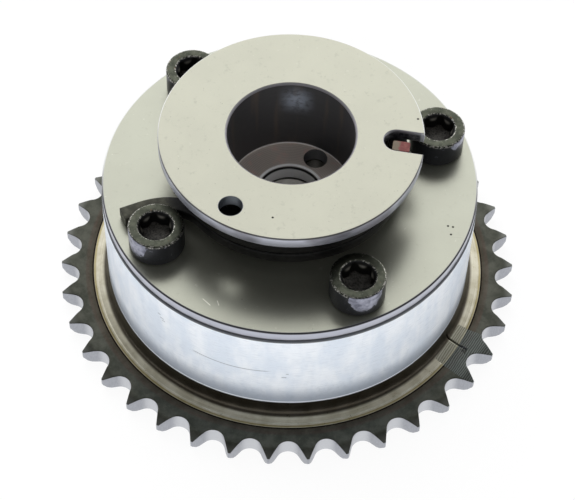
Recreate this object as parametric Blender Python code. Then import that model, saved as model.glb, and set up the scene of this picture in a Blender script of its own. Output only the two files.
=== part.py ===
"""Vane-type cam phaser: a chain sprocket with an oil-driven rotor that shifts the camshaft's timing.

The axis is Z, the sprocket's rear face lies on Z = 0 and the front disc points up.
Angles are in degrees, counted anticlockwise from +X as seen from the front.
"""
import math

import bmesh
import bpy

MM = 0.001

# Clearances
SEAT_GAP = 0.3 * MM          # between pieces that rest on or in each other
RUNNING_GAP = 0.4 * MM       # between pieces that turn on each other

# Chain sprocket
TEETH = 38
CHAIN_PITCH = 8.0 * MM
ROLLER_DIAMETER = 5.0 * MM
ROLLER_SEAT_RATIO = 0.51     # the seat's radius as a share of the roller's diameter
ROLLER_SEAT_HALF_ANGLE = 64.0
TOOTH_ADDENDUM = 1.462 * MM    # from the pitch circle out to the tooth tips
TOOTH_TIP_WIDTH = 0.5 * MM
SPROCKET_THICKNESS = 4.25 * MM
FRONT_BEVEL_DEPTH = 2.3 * MM  # the bevel on the teeth's front, measured inwards
FRONT_BEVEL_HEIGHT = 0.8 * MM  # and along the axis
REAR_BEVEL_DEPTH = 1.1 * MM
REAR_BEVEL_HEIGHT = 1.6 * MM
FIRST_TOOTH_ANGLE = 153.15

# Drum
DRUM_RADIUS = 39.3 * MM
DRUM_TOP = 31.2 * MM
DRUM_EDGE_BREAK = 0.4 * MM
COVE_TOP = 8.6 * MM          # the cove between drum and shoulder ring starts here
COVE_FOOT_RADIUS = 40.6 * MM
COVE_FOOT = 4.85 * MM
SHOULDER_RADIUS = 42.7 * MM
FLOOR_TOP = 9.4 * MM
CHAMBER_RADIUS = 34.25 * MM
CHAMBER_CORNER = 1.0 * MM
TIMING_MARK_ANGLE = 330.7
TIMING_MARK_START = 39.5 * MM  # its radii, from the cove outwards
TIMING_MARK_END = 44.2 * MM
TIMING_MARK_WIDTH = 0.5 * MM
TIMING_MARK_HOOK = 0.9 * MM  # how far its outer end turns sideways
TIMING_MARK_DEPTH = 0.35 * MM  # below the sprocket's face

# Lobes between the oil chambers, each with a bolt at its middle
BOLT_ANGLES = (17.7, 131.9, 214.3, 295.8)
BOLT_CIRCLE_RADIUS = 32.1 * MM
LOBE_HALF_ANGLE = 18.0
LOBE_STOP_ANGLE = 4.0        # what the two lobes beside the wide vane add on its side
LOBE_NOSE_CORNER = 1.2 * MM

# Cover plate
COVER_RADIUS = 39.1 * MM
COVER_THICKNESS = 2.5 * MM
COVER_EDGE_BREAK = 0.25 * MM

# Cover bolts
BOLT_DIAMETER = 6.0 * MM
BOLT_HEAD_DIAMETER = 11.3 * MM
BOLT_HEAD_HEIGHT = 5.85 * MM
BOLT_HEAD_BREAK = 0.35 * MM
BOLT_LENGTH = 20.0 * MM
SOCKET_DIAMETER = 6.8 * MM
SOCKET_DEPTH = 3.4 * MM
SOCKET_LOBES = 6
COUNTERSINK_DIAMETER = 7.4 * MM
SOCKET_WAVE = 0.1            # the lobes' depth as a share of the socket's radius

# Front bush: disc, sleeve and cup in one piece
DISC_RADIUS = 27.0 * MM
DISC_THICKNESS = 2.65 * MM
DISC_EDGE_BREAK = 0.2 * MM
SLEEVE_RADIUS = 16.1 * MM
SLEEVE_FILLET = 1.2 * MM
CUP_RADIUS = 13.0 * MM
CUP_CHAMFER = 0.4 * MM
CUP_FLOOR = 29.5 * MM
CUP_FLOOR_THICKNESS = 3.35 * MM
BOLT_HOLE_RADIUS = 6.35 * MM
BOLT_HOLE_CHAMFER = 0.7 * MM
CAM_PIN_HOLE_RADIUS = 2.55 * MM
CAM_PIN_CIRCLE_RADIUS = 10.4 * MM
CAM_PIN_ANGLE = 59.4
SLOT_ANGLE = -8.9            # the slot's direction
SLOT_OFFSET = 2.1 * MM       # its middle line passes the axis by this much
SLOT_WIDTH = 5.25 * MM
SLOT_LENGTH = 8.35 * MM      # from the disc's rim in to its round end, along its direction
DISC_HOLE_RADIUS = 2.4 * MM
DISC_HOLE_FROM_RIM = 4.65 * MM  # from the disc's rim in to the middle of the round hole
DISC_HOLE_ANGLE = 239.1

# Rotor
TRAVEL_ANGLE = 22.5
HUB_RADIUS = 20.8 * MM
HUB_CORNER = 1.0 * MM
VANE_TIP_GAP = 0.5 * MM
VANE_TIP_CORNER = 1.3 * MM
NARROW_VANE_ANGLE = 20.0
STOP_GAP_ANGLE = 0.6         # left between the wide vane and each of its two stops
CENTRE_BORE_RADIUS = 6.1 * MM
REAR_BOSS_RADIUS = 16.35 * MM
REAR_BOSS_END = 1.0 * MM
NOSE_RECESS_RADIUS = 13.05 * MM
NOSE_RECESS_FLOOR = 6.95 * MM
OIL_DRILLING_RADIUS = 1.5 * MM
OIL_DRILLING_HEIGHT = 20.3 * MM
OIL_GROOVE_WIDTH = 3.0 * MM
OIL_GROOVE_DEPTH = 1.5 * MM
OIL_OFFSET_ANGLE = 6.0       # from a vane's flank to the middle of its drilling or groove

# Bush dowel
DOWEL_RADIUS = 1.5 * MM
DOWEL_LENGTH = 6.0 * MM
DOWEL_IN_BUSH = 2.2 * MM
DOWEL_CIRCLE_RADIUS = 9.9 * MM

# Seal strips and the leaf springs behind them
SEAL_WIDTH = 2.2 * MM
SEAL_HEIGHT = 2.4 * MM
LEAF_THICKNESS = 0.3 * MM
LEAF_BOW = 0.8 * MM
LEAF_END_MARGIN = 1.6 * MM

# Lock pin
LOCK_PIN_CIRCLE_RADIUS = 26.95 * MM
LOCK_PIN_OFFSET_ANGLE = 8.0  # from the wide vane's middle
WIDE_SEAL_OFFSET_ANGLE = -13.0
LOCK_PIN_RADIUS = 4.0 * MM
LOCK_PIN_COLLAR_RADIUS = 4.9 * MM
LOCK_PIN_NOSE_TAPER = 0.5 * MM
LOCK_PIN_LENGTH = 14.5 * MM
LOCK_PIN_BORE_RADIUS = 2.9 * MM
LOCK_PIN_NOSE_WALL = 3.4 * MM
LOCK_PIN_ENGAGEMENT = 3.2 * MM
LOCK_PIN_SHOULDER = 16.65 * MM
LOCK_CAP_THICKNESS = 2.6 * MM
LOCK_CAP_VENT_RADIUS = 1.2 * MM
LOCK_SEAT_OUTER_RADIUS = 6.0 * MM
LOCK_SEAT_HEIGHT = 4.6 * MM
LOCK_SEAT_CHAMFER = 0.5 * MM
LOCK_VENT_RADIUS = 1.5 * MM
LOCK_SPRING_WIRE_RADIUS = 0.4 * MM
LOCK_SPRING_TURNS = 6

# Bias spring
WIRE_WIDTH = 3.5 * MM        # across the coil
WIRE_HEIGHT = 2.6 * MM       # along the axis
WIRE_CORNER = 0.4 * MM
COIL_BOLT_GAP = 2.3 * MM     # from the coil out to the bolt heads, before the coil's shift
COIL_SHIFT = 0.65 * MM       # the loaded coil lies off the axis by this much, along +Y
COIL_TURN_GAP = 0.32 * MM    # between one turn and the next
FULL_COIL_TURNS = 2
COIL_END_DROP = 2.51 * MM    # fall of the part turn and the hook, beyond the full turns
ANCHOR_BOLT = 2              # the bolt that holds the leg, counted from 0
HOOK_CONTACT_ANGLE = 107.0   # where the hook comes nearest to the bolt head
HOOK_END_HEADING = 205.0     # the leg's direction after it has passed the head
LEG_END_LENGTH = 3.8 * MM
TANG_BEND_RADIUS = 0.4 * MM
TANG_BELOW_DISC_TOP = 0.5 * MM

# Smoothness
DRUM_SEGMENTS = 96
ROUND_SEGMENTS = 64
HEAD_SEGMENTS = 40
SMALL_SEGMENTS = 24
DOWEL_SEGMENTS = 16
DRILLING_SEGMENTS = 12
WIRE_SEGMENTS = 6
ARC_STEP_ANGLE = 4.0
SMALL_ARC_STEP_ANGLE = 15.0
HOOK_STEP_ANGLE = 8.0
COIL_STEP_ANGLE = 10.0
FINE_COIL_STEPS = 14         # in one turn of the lock pin's spring
FILLET_STEPS = 3
COVE_STEPS = 4
SEAT_STEPS = 6               # along one roller seat
LOBE_STEPS = 6               # along one lobe of a bolt's socket
LEAF_STEPS = 8
BEND_STEPS = 4
MERGE_DISTANCE = 1e-7        # metres

# Sizes that follow from the ones above
PITCH_ANGLE = 360.0 / TEETH
ROLLER_SEAT_RADIUS = ROLLER_SEAT_RATIO * ROLLER_DIAMETER
PITCH_RADIUS = CHAIN_PITCH / (2.0 * math.sin(math.radians(PITCH_ANGLE / 2.0)))
TOOTH_TIP_RADIUS = PITCH_RADIUS + TOOTH_ADDENDUM
COVER_BOTTOM = DRUM_TOP + SEAT_GAP
COVER_TOP = COVER_BOTTOM + COVER_THICKNESS
ROTOR_BOTTOM = FLOOR_TOP + SEAT_GAP
ROTOR_TOP = COVER_BOTTOM - SEAT_GAP
VANE_TIP_RADIUS = CHAMBER_RADIUS - VANE_TIP_GAP
LOBE_NOSE_RADIUS = HUB_RADIUS + VANE_TIP_GAP
REAR_BORE_RADIUS = REAR_BOSS_RADIUS + RUNNING_GAP
COIL_PITCH = WIRE_HEIGHT + COIL_TURN_GAP
COIL_OUTER_RADIUS = BOLT_CIRCLE_RADIUS - BOLT_HEAD_DIAMETER / 2.0 - COIL_BOLT_GAP
COIL_LOW = COVER_TOP + SEAT_GAP + WIRE_HEIGHT / 2.0
COIL_HIGH = COIL_LOW + FULL_COIL_TURNS * COIL_PITCH + COIL_END_DROP
DISC_BOTTOM = COIL_HIGH + WIRE_HEIGHT / 2.0 + TANG_BEND_RADIUS + SEAT_GAP
DISC_TOP = DISC_BOTTOM + DISC_THICKNESS
DISC_HOLE_CIRCLE_RADIUS = DISC_RADIUS - DISC_HOLE_FROM_RIM
SLOT_START = DISC_RADIUS - SLOT_LENGTH
BUSH_BOTTOM = CUP_FLOOR - CUP_FLOOR_THICKNESS
SEAL_SLOT_WIDTH = SEAL_WIDTH + 2.0 * SEAT_GAP
LEAF_SPACE = LEAF_THICKNESS + LEAF_BOW + 2.0 * SEAT_GAP
VANE_SEAL_RADIUS = CHAMBER_RADIUS - SEAT_GAP
LOBE_SEAL_RADIUS = HUB_RADIUS + SEAT_GAP
VANE_SLOT_FLOOR = VANE_SEAL_RADIUS - SEAL_HEIGHT - LEAF_SPACE
LOBE_SLOT_FLOOR = LOBE_SEAL_RADIUS + SEAL_HEIGHT + LEAF_SPACE
BOLT_SEAT = COVER_TOP + SEAT_GAP
BOLT_HOLE_CLEARANCE_RADIUS = BOLT_DIAMETER / 2.0 + SEAT_GAP
LOCK_BORE_RADIUS = LOCK_PIN_RADIUS + SEAT_GAP
LOCK_COLLAR_BORE_RADIUS = LOCK_PIN_COLLAR_RADIUS + RUNNING_GAP
LOCK_PIN_TIP = ROTOR_BOTTOM + SEAT_GAP / 2.0
LOCK_COLLAR_BOTTOM = LOCK_PIN_SHOULDER + SEAT_GAP + LOCK_PIN_ENGAGEMENT
LOCK_CAP_BOTTOM = ROTOR_TOP - SEAT_GAP - LOCK_CAP_THICKNESS
LOCK_SEAT_BOTTOM = FLOOR_TOP - LOCK_SEAT_HEIGHT

COLOURS = {
    # base colour, metallic, roughness
    "housing_steel": ((0.62, 0.66, 0.70), 0.9, 0.32),
    "cover_steel": ((0.60, 0.60, 0.54), 0.9, 0.30),
    "bush_steel": ((0.61, 0.61, 0.55), 0.9, 0.28),
    "black_bolt_steel": ((0.035, 0.036, 0.034), 0.7, 0.42),
    "spring_steel": ((0.05, 0.05, 0.045), 0.8, 0.45),
    "rotor_steel": ((0.42, 0.42, 0.40), 0.9, 0.42),
    "dowel_steel": ((0.52, 0.52, 0.52), 1.0, 0.20),
    "lock_pin_steel": ((0.50, 0.50, 0.50), 1.0, 0.22),
    "lock_cap_steel": ((0.44, 0.44, 0.43), 1.0, 0.35),
    "lock_seat_steel": ((0.47, 0.47, 0.47), 1.0, 0.25),
    "lock_spring_steel": ((0.46, 0.45, 0.42), 1.0, 0.30),
    "leaf_steel": ((0.48, 0.46, 0.42), 1.0, 0.30),
    "seal_polymer": ((0.10, 0.09, 0.08), 0.0, 0.55),
}


def material(name):
    found = bpy.data.materials.get(name)
    if found:
        return found
    colour, metallic, roughness = COLOURS[name]
    made = bpy.data.materials.new(name)
    made.use_nodes = True
    shader = made.node_tree.nodes["Principled BSDF"]
    shader.inputs["Base Color"].default_value = (*colour, 1.0)
    shader.inputs["Metallic"].default_value = metallic
    shader.inputs["Roughness"].default_value = roughness
    made.diffuse_color = (*colour, 1.0)
    return made


# Plane geometry

def polar(radius, degrees, sideways=0.0):
    """The point at a radius and an angle, moved sideways (anticlockwise) by a distance."""
    a = math.radians(degrees)
    x = math.cos(a)
    y = math.sin(a)
    return (radius * x - sideways * y, radius * y + sideways * x)


def arc(radius, start, end, centre=(0.0, 0.0), step=ARC_STEP_ANGLE):
    """Points along an arc from one angle to another, both ends included."""
    count = max(1, math.ceil(abs(end - start) / step))
    points = []
    for i in range(count + 1):
        a = math.radians(start + (end - start) * i / count)
        points.append((centre[0] + radius * math.cos(a), centre[1] + radius * math.sin(a)))
    return points


def circle(radius, segments, centre=(0.0, 0.0)):
    points = []
    for i in range(segments):
        a = 2.0 * math.pi * i / segments
        points.append((centre[0] + radius * math.cos(a), centre[1] + radius * math.sin(a)))
    return points


def fillet(before, corner, after, radius):
    """The corner's points once it is rounded with a radius, limited by its two sides."""
    ax, ay = before[0] - corner[0], before[1] - corner[1]
    bx, by = after[0] - corner[0], after[1] - corner[1]
    a_length = math.hypot(ax, ay)
    b_length = math.hypot(bx, by)
    ax, ay, bx, by = ax / a_length, ay / a_length, bx / b_length, by / b_length
    half = math.acos(max(-1.0, min(1.0, ax * bx + ay * by))) / 2.0
    reach = min(radius / math.tan(half), 0.9 * a_length, 0.9 * b_length)
    radius = reach * math.tan(half)
    mx, my = ax + bx, ay + by
    scale = radius / math.sin(half) / math.hypot(mx, my)
    centre = (corner[0] + mx * scale, corner[1] + my * scale)
    first = (corner[0] + ax * reach, corner[1] + ay * reach)
    last = (corner[0] + bx * reach, corner[1] + by * reach)
    start = math.atan2(first[1] - centre[1], first[0] - centre[0])
    sweep = math.atan2(last[1] - centre[1], last[0] - centre[0]) - start
    sweep = (sweep + math.pi) % (2.0 * math.pi) - math.pi
    return [
        (centre[0] + radius * math.cos(start + sweep * i / FILLET_STEPS),
         centre[1] + radius * math.sin(start + sweep * i / FILLET_STEPS))
        for i in range(FILLET_STEPS + 1)
    ]


def rounded(corners):
    """An outline from (point, fillet radius) pairs; a radius of 0 keeps the point sharp."""
    outline = []
    for i, (point, radius) in enumerate(corners):
        if radius:
            after = corners[(i + 1) % len(corners)][0]
            outline += fillet(corners[i - 1][0], point, after, radius)
        else:
            outline.append(point)
    return outline


# Solids

def mesh_object(name, bm, material_name, smooth_angle=30.0):
    bmesh.ops.remove_doubles(bm, verts=bm.verts, dist=MERGE_DISTANCE)
    bmesh.ops.recalc_face_normals(bm, faces=bm.faces)
    mesh = bpy.data.meshes.new(name)
    bm.to_mesh(mesh)
    bm.free()
    mesh.shade_smooth()
    mesh.set_sharp_from_angle(angle=math.radians(smooth_angle))
    obj = bpy.data.objects.new(name, mesh)
    bpy.context.collection.objects.link(obj)
    mesh.materials.append(material(material_name))
    return obj


def turned(name, profile, material_name, segments=ROUND_SEGMENTS):
    """A body turned about Z from (radius, height) points; ends on the axis close it there."""
    bm = bmesh.new()
    points = [bm.verts.new((radius, 0.0, height)) for radius, height in profile]
    edges = [bm.edges.new(pair) for pair in zip(points, points[1:])]
    if profile[0][0] > 0.0 or profile[-1][0] > 0.0:
        edges.append(bm.edges.new((points[-1], points[0])))
    bmesh.ops.spin(bm, geom=points + edges, cent=(0, 0, 0), axis=(0, 0, 1),
                   angle=2.0 * math.pi, steps=segments, use_merge=True)
    bmesh.ops.remove_doubles(bm, verts=bm.verts, dist=MERGE_DISTANCE)
    on_axis = [v for v in bm.verts if math.hypot(v.co.x, v.co.y) < MERGE_DISTANCE]
    bmesh.ops.dissolve_verts(bm, verts=on_axis)
    return mesh_object(name, bm, material_name)


def prism(name, outline, bottom, top, material_name, holes=()):
    """An outline extruded along Z, with any holes as inner outlines."""
    bm = bmesh.new()
    edges = []
    for loop in (outline, *holes):
        points = [bm.verts.new((x, y, bottom)) for x, y in loop]
        edges += [bm.edges.new(pair) for pair in zip(points, points[1:] + points[:1])]
    if holes:
        bmesh.ops.triangle_fill(bm, edges=edges, use_beauty=True)
    else:
        bmesh.ops.contextual_create(bm, geom=edges)
    lifted = bmesh.ops.extrude_face_region(bm, geom=bm.faces[:])["geom"]
    moved = [item for item in lifted if isinstance(item, bmesh.types.BMVert)]
    bmesh.ops.translate(bm, verts=moved, vec=(0.0, 0.0, top - bottom))
    return mesh_object(name, bm, material_name)


def swept(name, stations, section, material_name):
    """A section carried along stations, each a (centre, across, up) frame, with flat ends."""
    bm = bmesh.new()
    rings = []
    for (cx, cy, cz), (ax, ay, az), (ux, uy, uz) in stations:
        rings.append([
            bm.verts.new((cx + ax * s + ux * t, cy + ay * s + uy * t, cz + az * s + uz * t))
            for s, t in section
        ])
    for one, two in zip(rings, rings[1:]):
        for i in range(len(section)):
            j = (i + 1) % len(section)
            bm.faces.new((one[i], one[j], two[j], two[i]))
    bm.faces.new(rings[0])
    bm.faces.new(rings[-1])
    return mesh_object(name, bm, material_name)


def combine(target, tool, operation="DIFFERENCE"):
    """Cuts a tool out of a target, or joins it on with UNION, and hides the tool."""
    tool.hide_render = True
    tool.hide_set(True)
    tool.display_type = "WIRE"
    modifier = target.modifiers.new(tool.name, "BOOLEAN")
    modifier.operation = operation
    modifier.solver = "EXACT"
    modifier.object = tool


def drill(target, name, radius, bottom, top, centre=(0.0, 0.0), segments=SMALL_SEGMENTS):
    tool = prism(name, circle(radius, segments), bottom, top, target.data.materials[0].name)
    tool.location = (*centre, 0.0)
    combine(target, tool)


# Where the lobes, chambers and vanes lie

def spans():
    """Each chamber's start and end angle and its vane's half angle and middle at rest."""
    found = []
    widest = max(range(len(BOLT_ANGLES)), key=bolt_step)
    for i, angle in enumerate(BOLT_ANGLES):
        extra = LOBE_STOP_ANGLE if i == widest else 0.0
        start = angle + LOBE_HALF_ANGLE + extra
        end = angle + bolt_step(i) - LOBE_HALF_ANGLE - extra
        width = NARROW_VANE_ANGLE
        if i == widest:
            width = end - start - TRAVEL_ANGLE - 2.0 * STOP_GAP_ANGLE
        middle = start + (end - start - TRAVEL_ANGLE) / 2.0
        found.append({"start": start, "end": end, "half": width / 2.0, "middle": middle,
                      "wide": i == widest})
    return found


def bolt_step(i):
    """The angle from one bolt to the next."""
    return (BOLT_ANGLES[(i + 1) % len(BOLT_ANGLES)] - BOLT_ANGLES[i]) % 360.0


CHAMBERS = spans()
WIDE = next(chamber for chamber in CHAMBERS if chamber["wide"])
LOCK_ANGLE = WIDE["middle"] + LOCK_PIN_OFFSET_ANGLE


def seal_angle(chamber):
    return chamber["middle"] + (WIDE_SEAL_OFFSET_ANGLE if chamber["wide"] else 0.0)


def slot_corners(angle, mouth_radius, floor_radius):
    """The four corners of a seal slot, anticlockwise, from its mouth circle to its floor."""
    half = SEAL_SLOT_WIDTH / 2.0
    mouth = math.sqrt(mouth_radius ** 2 - half ** 2)
    return [(polar(mouth, angle, -half), 0), (polar(floor_radius, angle, -half), 0),
            (polar(floor_radius, angle, half), 0), (polar(mouth, angle, half), 0)]


# Sprocket housing

def tooth_outline():
    """The sprocket's outline: a roller seat between teeth, then a flank that ends at the tip."""
    outline = []
    for i in range(TEETH):
        gap = FIRST_TOOTH_ANGLE + PITCH_ANGLE * (i + 0.5)
        tip = TOOTH_TIP_WIDTH / 2.0
        reach = math.sqrt(TOOTH_TIP_RADIUS ** 2 - tip ** 2)
        before = FIRST_TOOTH_ANGLE + PITCH_ANGLE * i
        after = before + PITCH_ANGLE
        outline.append(polar(reach, before, tip))
        for k in range(SEAT_STEPS + 1):
            a = math.radians(ROLLER_SEAT_HALF_ANGLE * (2.0 * k / SEAT_STEPS - 1.0))
            outline.append(polar(PITCH_RADIUS - ROLLER_SEAT_RADIUS * math.cos(a), gap,
                                 ROLLER_SEAT_RADIUS * math.sin(a)))
        outline.append(polar(reach, after, -tip))
    return outline


def cove():
    """The hollow from the drum's foot out to the shoulder ring, as a quarter ellipse."""
    points = []
    for i in range(COVE_STEPS + 1):
        a = math.pi / 2.0 * i / COVE_STEPS
        radius = COVE_FOOT_RADIUS - (COVE_FOOT_RADIUS - DRUM_RADIUS) * math.cos(a)
        height = COVE_TOP - (COVE_TOP - COVE_FOOT) * math.sin(a)
        points.append((radius, height))
    return points


def chamber_outline():
    """The cavity's outline: four chambers joined by the noses of four lobes."""
    corners = []
    for i, chamber in enumerate(CHAMBERS):
        following = CHAMBERS[(i + 1) % len(CHAMBERS)]
        wall = arc(CHAMBER_RADIUS, chamber["start"], chamber["end"])
        corners.append((wall[0], CHAMBER_CORNER))
        corners += [(point, 0) for point in wall[1:-1]]
        corners.append((wall[-1], CHAMBER_CORNER))
        lobe = BOLT_ANGLES[(i + 1) % len(BOLT_ANGLES)]
        start = lobe - ((lobe - chamber["end"]) % 360.0)
        end = lobe + ((following["start"] - lobe) % 360.0)
        mouth = math.degrees(SEAL_SLOT_WIDTH / 2.0 / LOBE_NOSE_RADIUS)
        one = arc(LOBE_NOSE_RADIUS, start, lobe - mouth)
        two = arc(LOBE_NOSE_RADIUS, lobe + mouth, end)
        corners.append((one[0], LOBE_NOSE_CORNER))
        corners += [(point, 0) for point in one[1:-1]]
        corners += slot_corners(lobe, LOBE_NOSE_RADIUS, LOBE_SLOT_FLOOR)
        corners += [(point, 0) for point in two[1:-1]]
        corners.append((two[-1], LOBE_NOSE_CORNER))
    return rounded(corners)


def timing_mark_outline():
    """A radial groove with its outer end hooked clockwise."""
    half = TIMING_MARK_WIDTH / 2.0
    inner, outer = TIMING_MARK_START, TIMING_MARK_END
    hook = -half - TIMING_MARK_HOOK
    places = [(inner, -half), (outer, -half), (outer, hook), (outer + 2.0 * half, hook),
              (outer + 2.0 * half, -half), (outer + half, half), (inner, half)]
    return [polar(radius, TIMING_MARK_ANGLE, sideways) for radius, sideways in places]


def sprocket_housing():
    profile = [(REAR_BORE_RADIUS, DRUM_TOP), (DRUM_RADIUS - DRUM_EDGE_BREAK, DRUM_TOP),
               (DRUM_RADIUS, DRUM_TOP - DRUM_EDGE_BREAK)]
    profile += cove()
    profile += [(SHOULDER_RADIUS, SPROCKET_THICKNESS),
                (TOOTH_TIP_RADIUS - FRONT_BEVEL_DEPTH, SPROCKET_THICKNESS),
                (TOOTH_TIP_RADIUS, SPROCKET_THICKNESS - FRONT_BEVEL_HEIGHT),
                (TOOTH_TIP_RADIUS, REAR_BEVEL_HEIGHT),
                (TOOTH_TIP_RADIUS - REAR_BEVEL_DEPTH, 0.0), (REAR_BORE_RADIUS, 0.0)]
    housing = turned("sprocket_housing", profile, "housing_steel", DRUM_SEGMENTS)
    margin = 2.0 * MM
    cavity = prism("chambers", chamber_outline(), FLOOR_TOP, DRUM_TOP + margin, "housing_steel")
    combine(housing, cavity)
    for i, angle in enumerate(BOLT_ANGLES):
        drill(housing, f"bolt_thread_{i + 1}", BOLT_HOLE_CLEARANCE_RADIUS,
              BOLT_SEAT - BOLT_LENGTH - SEAT_GAP, DRUM_TOP + margin,
              polar(BOLT_CIRCLE_RADIUS, angle))
    lock = polar(LOCK_PIN_CIRCLE_RADIUS, LOCK_ANGLE)
    drill(housing, "lock_seat_pocket", LOCK_SEAT_OUTER_RADIUS + SEAT_GAP,
          LOCK_SEAT_BOTTOM - SEAT_GAP, FLOOR_TOP + margin, lock)
    drill(housing, "lock_vent", LOCK_VENT_RADIUS, -margin, LOCK_SEAT_BOTTOM, lock)
    mark = prism("timing_mark", timing_mark_outline(), SPROCKET_THICKNESS - TIMING_MARK_DEPTH,
                 COVE_TOP, "housing_steel")
    combine(housing, mark)
    ring = prism("tooth_spaces", circle(TOOTH_TIP_RADIUS + 3.0 * margin, TEETH),
                 -margin, SPROCKET_THICKNESS + margin, "housing_steel", holes=[tooth_outline()])
    combine(housing, ring)
    return housing


# Cover plate and its bolts

def cover_plate():
    hole = SLEEVE_RADIUS + RUNNING_GAP
    profile = [(hole, COVER_TOP), (COVER_RADIUS - COVER_EDGE_BREAK, COVER_TOP),
               (COVER_RADIUS, COVER_TOP - COVER_EDGE_BREAK),
               (COVER_RADIUS, COVER_BOTTOM + COVER_EDGE_BREAK / 2.0),
               (COVER_RADIUS - COVER_EDGE_BREAK / 2.0, COVER_BOTTOM), (hole, COVER_BOTTOM)]
    plate = turned("cover_plate", profile, "cover_steel", DRUM_SEGMENTS)
    margin = 1.0 * MM
    for i, angle in enumerate(BOLT_ANGLES):
        drill(plate, f"cover_hole_{i + 1}", BOLT_HOLE_CLEARANCE_RADIUS, COVER_BOTTOM - margin,
              COVER_TOP + margin, polar(BOLT_CIRCLE_RADIUS, angle))
    return plate


def socket_outline():
    """The six-lobe driver recess."""
    wave = SOCKET_DIAMETER / 2.0 * SOCKET_WAVE
    points = []
    for i in range(SOCKET_LOBES * LOBE_STEPS):
        a = 2.0 * math.pi * i / (SOCKET_LOBES * LOBE_STEPS)
        r = SOCKET_DIAMETER / 2.0 - wave * (1.0 - math.cos(SOCKET_LOBES * a))
        points.append((r * math.cos(a), r * math.sin(a)))
    return points


def cover_bolt(number, angle):
    head = BOLT_HEAD_DIAMETER / 2.0
    shank = BOLT_DIAMETER / 2.0
    top = BOLT_HEAD_HEIGHT
    tip = -BOLT_LENGTH
    profile = [(0.0, top), (head - BOLT_HEAD_BREAK, top), (head, top - BOLT_HEAD_BREAK),
               (head, 0.0), (shank, 0.0), (shank, tip + shank / 4.0), (shank * 0.75, tip),
               (0.0, tip)]
    bolt = turned(f"cover_bolt_{number}", profile, "black_bolt_steel", HEAD_SEGMENTS)
    margin = 1.0 * MM
    wide = COUNTERSINK_DIAMETER / 2.0
    narrow = SOCKET_DIAMETER / 2.0 * (1.0 - 2.0 * SOCKET_WAVE)
    entry = turned(f"countersink_{number}", [(0.0, top - wide + narrow),
                                             (narrow, top - wide + narrow),
                                             (wide + margin, top + margin), (0.0, top + margin)],
                   "black_bolt_steel", SMALL_SEGMENTS)
    recess = prism(f"bolt_socket_{number}", socket_outline(), top - SOCKET_DEPTH, top + margin,
                   "black_bolt_steel")
    for tool in (entry, recess):
        tool.parent = bolt
        combine(bolt, tool)
    bolt.location = (*polar(BOLT_CIRCLE_RADIUS, angle), BOLT_SEAT)
    bolt.rotation_euler = (0.0, 0.0, math.radians(angle * number))
    return bolt


# Front bush

def slot_outline():
    """The disc's slot: straight sides, round inner end, open at the rim."""
    half = SLOT_WIDTH / 2.0
    middle = polar(SLOT_START + half, SLOT_ANGLE, SLOT_OFFSET)
    end = arc(half, SLOT_ANGLE + 270.0, SLOT_ANGLE + 90.0, middle, SMALL_ARC_STEP_ANGLE)
    beyond = DISC_RADIUS + half
    return [polar(beyond, SLOT_ANGLE, SLOT_OFFSET - half), *end,
            polar(beyond, SLOT_ANGLE, SLOT_OFFSET + half)]


def front_bush():
    under = []
    for i in range(FILLET_STEPS + 1):
        a = math.pi / 2.0 * i / FILLET_STEPS
        under.append((SLEEVE_RADIUS + SLEEVE_FILLET * (1.0 - math.sin(a)),
                      DISC_BOTTOM - SLEEVE_FILLET * (1.0 - math.cos(a))))
    profile = [(CUP_RADIUS + CUP_CHAMFER, DISC_TOP), (DISC_RADIUS - DISC_EDGE_BREAK, DISC_TOP),
               (DISC_RADIUS, DISC_TOP - DISC_EDGE_BREAK),
               (DISC_RADIUS, DISC_BOTTOM + DISC_EDGE_BREAK),
               (DISC_RADIUS - DISC_EDGE_BREAK, DISC_BOTTOM), *under,
               (SLEEVE_RADIUS, BUSH_BOTTOM + DISC_EDGE_BREAK),
               (SLEEVE_RADIUS - DISC_EDGE_BREAK, BUSH_BOTTOM),
               (BOLT_HOLE_RADIUS, BUSH_BOTTOM),
               (BOLT_HOLE_RADIUS, CUP_FLOOR - BOLT_HOLE_CHAMFER),
               (BOLT_HOLE_RADIUS + BOLT_HOLE_CHAMFER, CUP_FLOOR),
               (CUP_RADIUS, CUP_FLOOR), (CUP_RADIUS, DISC_TOP - CUP_CHAMFER)]
    bush = turned("front_bush", profile, "bush_steel", DRUM_SEGMENTS)
    margin = 1.0 * MM
    combine(bush, prism("disc_slot", slot_outline(), DISC_BOTTOM - margin, DISC_TOP + margin,
                        "bush_steel"))
    drill(bush, "disc_hole", DISC_HOLE_RADIUS, DISC_BOTTOM - margin, DISC_TOP + margin,
          polar(DISC_HOLE_CIRCLE_RADIUS, DISC_HOLE_ANGLE))
    drill(bush, "bush_pin_hole", CAM_PIN_HOLE_RADIUS, BUSH_BOTTOM - margin, CUP_FLOOR + margin,
          polar(CAM_PIN_CIRCLE_RADIUS, CAM_PIN_ANGLE))
    drill(bush, "bush_dowel_hole", DOWEL_RADIUS + SEAT_GAP, BUSH_BOTTOM - margin,
          BUSH_BOTTOM + DOWEL_IN_BUSH + SEAT_GAP,
          polar(DOWEL_CIRCLE_RADIUS, CAM_PIN_ANGLE + 180.0), DOWEL_SEGMENTS)
    return bush


def bush_dowel():
    bottom = BUSH_BOTTOM + DOWEL_IN_BUSH - DOWEL_LENGTH
    edge = DOWEL_RADIUS / 5.0
    profile = [(0.0, DOWEL_LENGTH), (DOWEL_RADIUS - edge, DOWEL_LENGTH),
               (DOWEL_RADIUS, DOWEL_LENGTH - edge), (DOWEL_RADIUS, edge),
               (DOWEL_RADIUS - edge, 0.0), (0.0, 0.0)]
    dowel = turned("bush_dowel", profile, "dowel_steel", DOWEL_SEGMENTS)
    dowel.location = (*polar(DOWEL_CIRCLE_RADIUS, CAM_PIN_ANGLE + 180.0), bottom)
    return dowel


# Rotor

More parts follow.
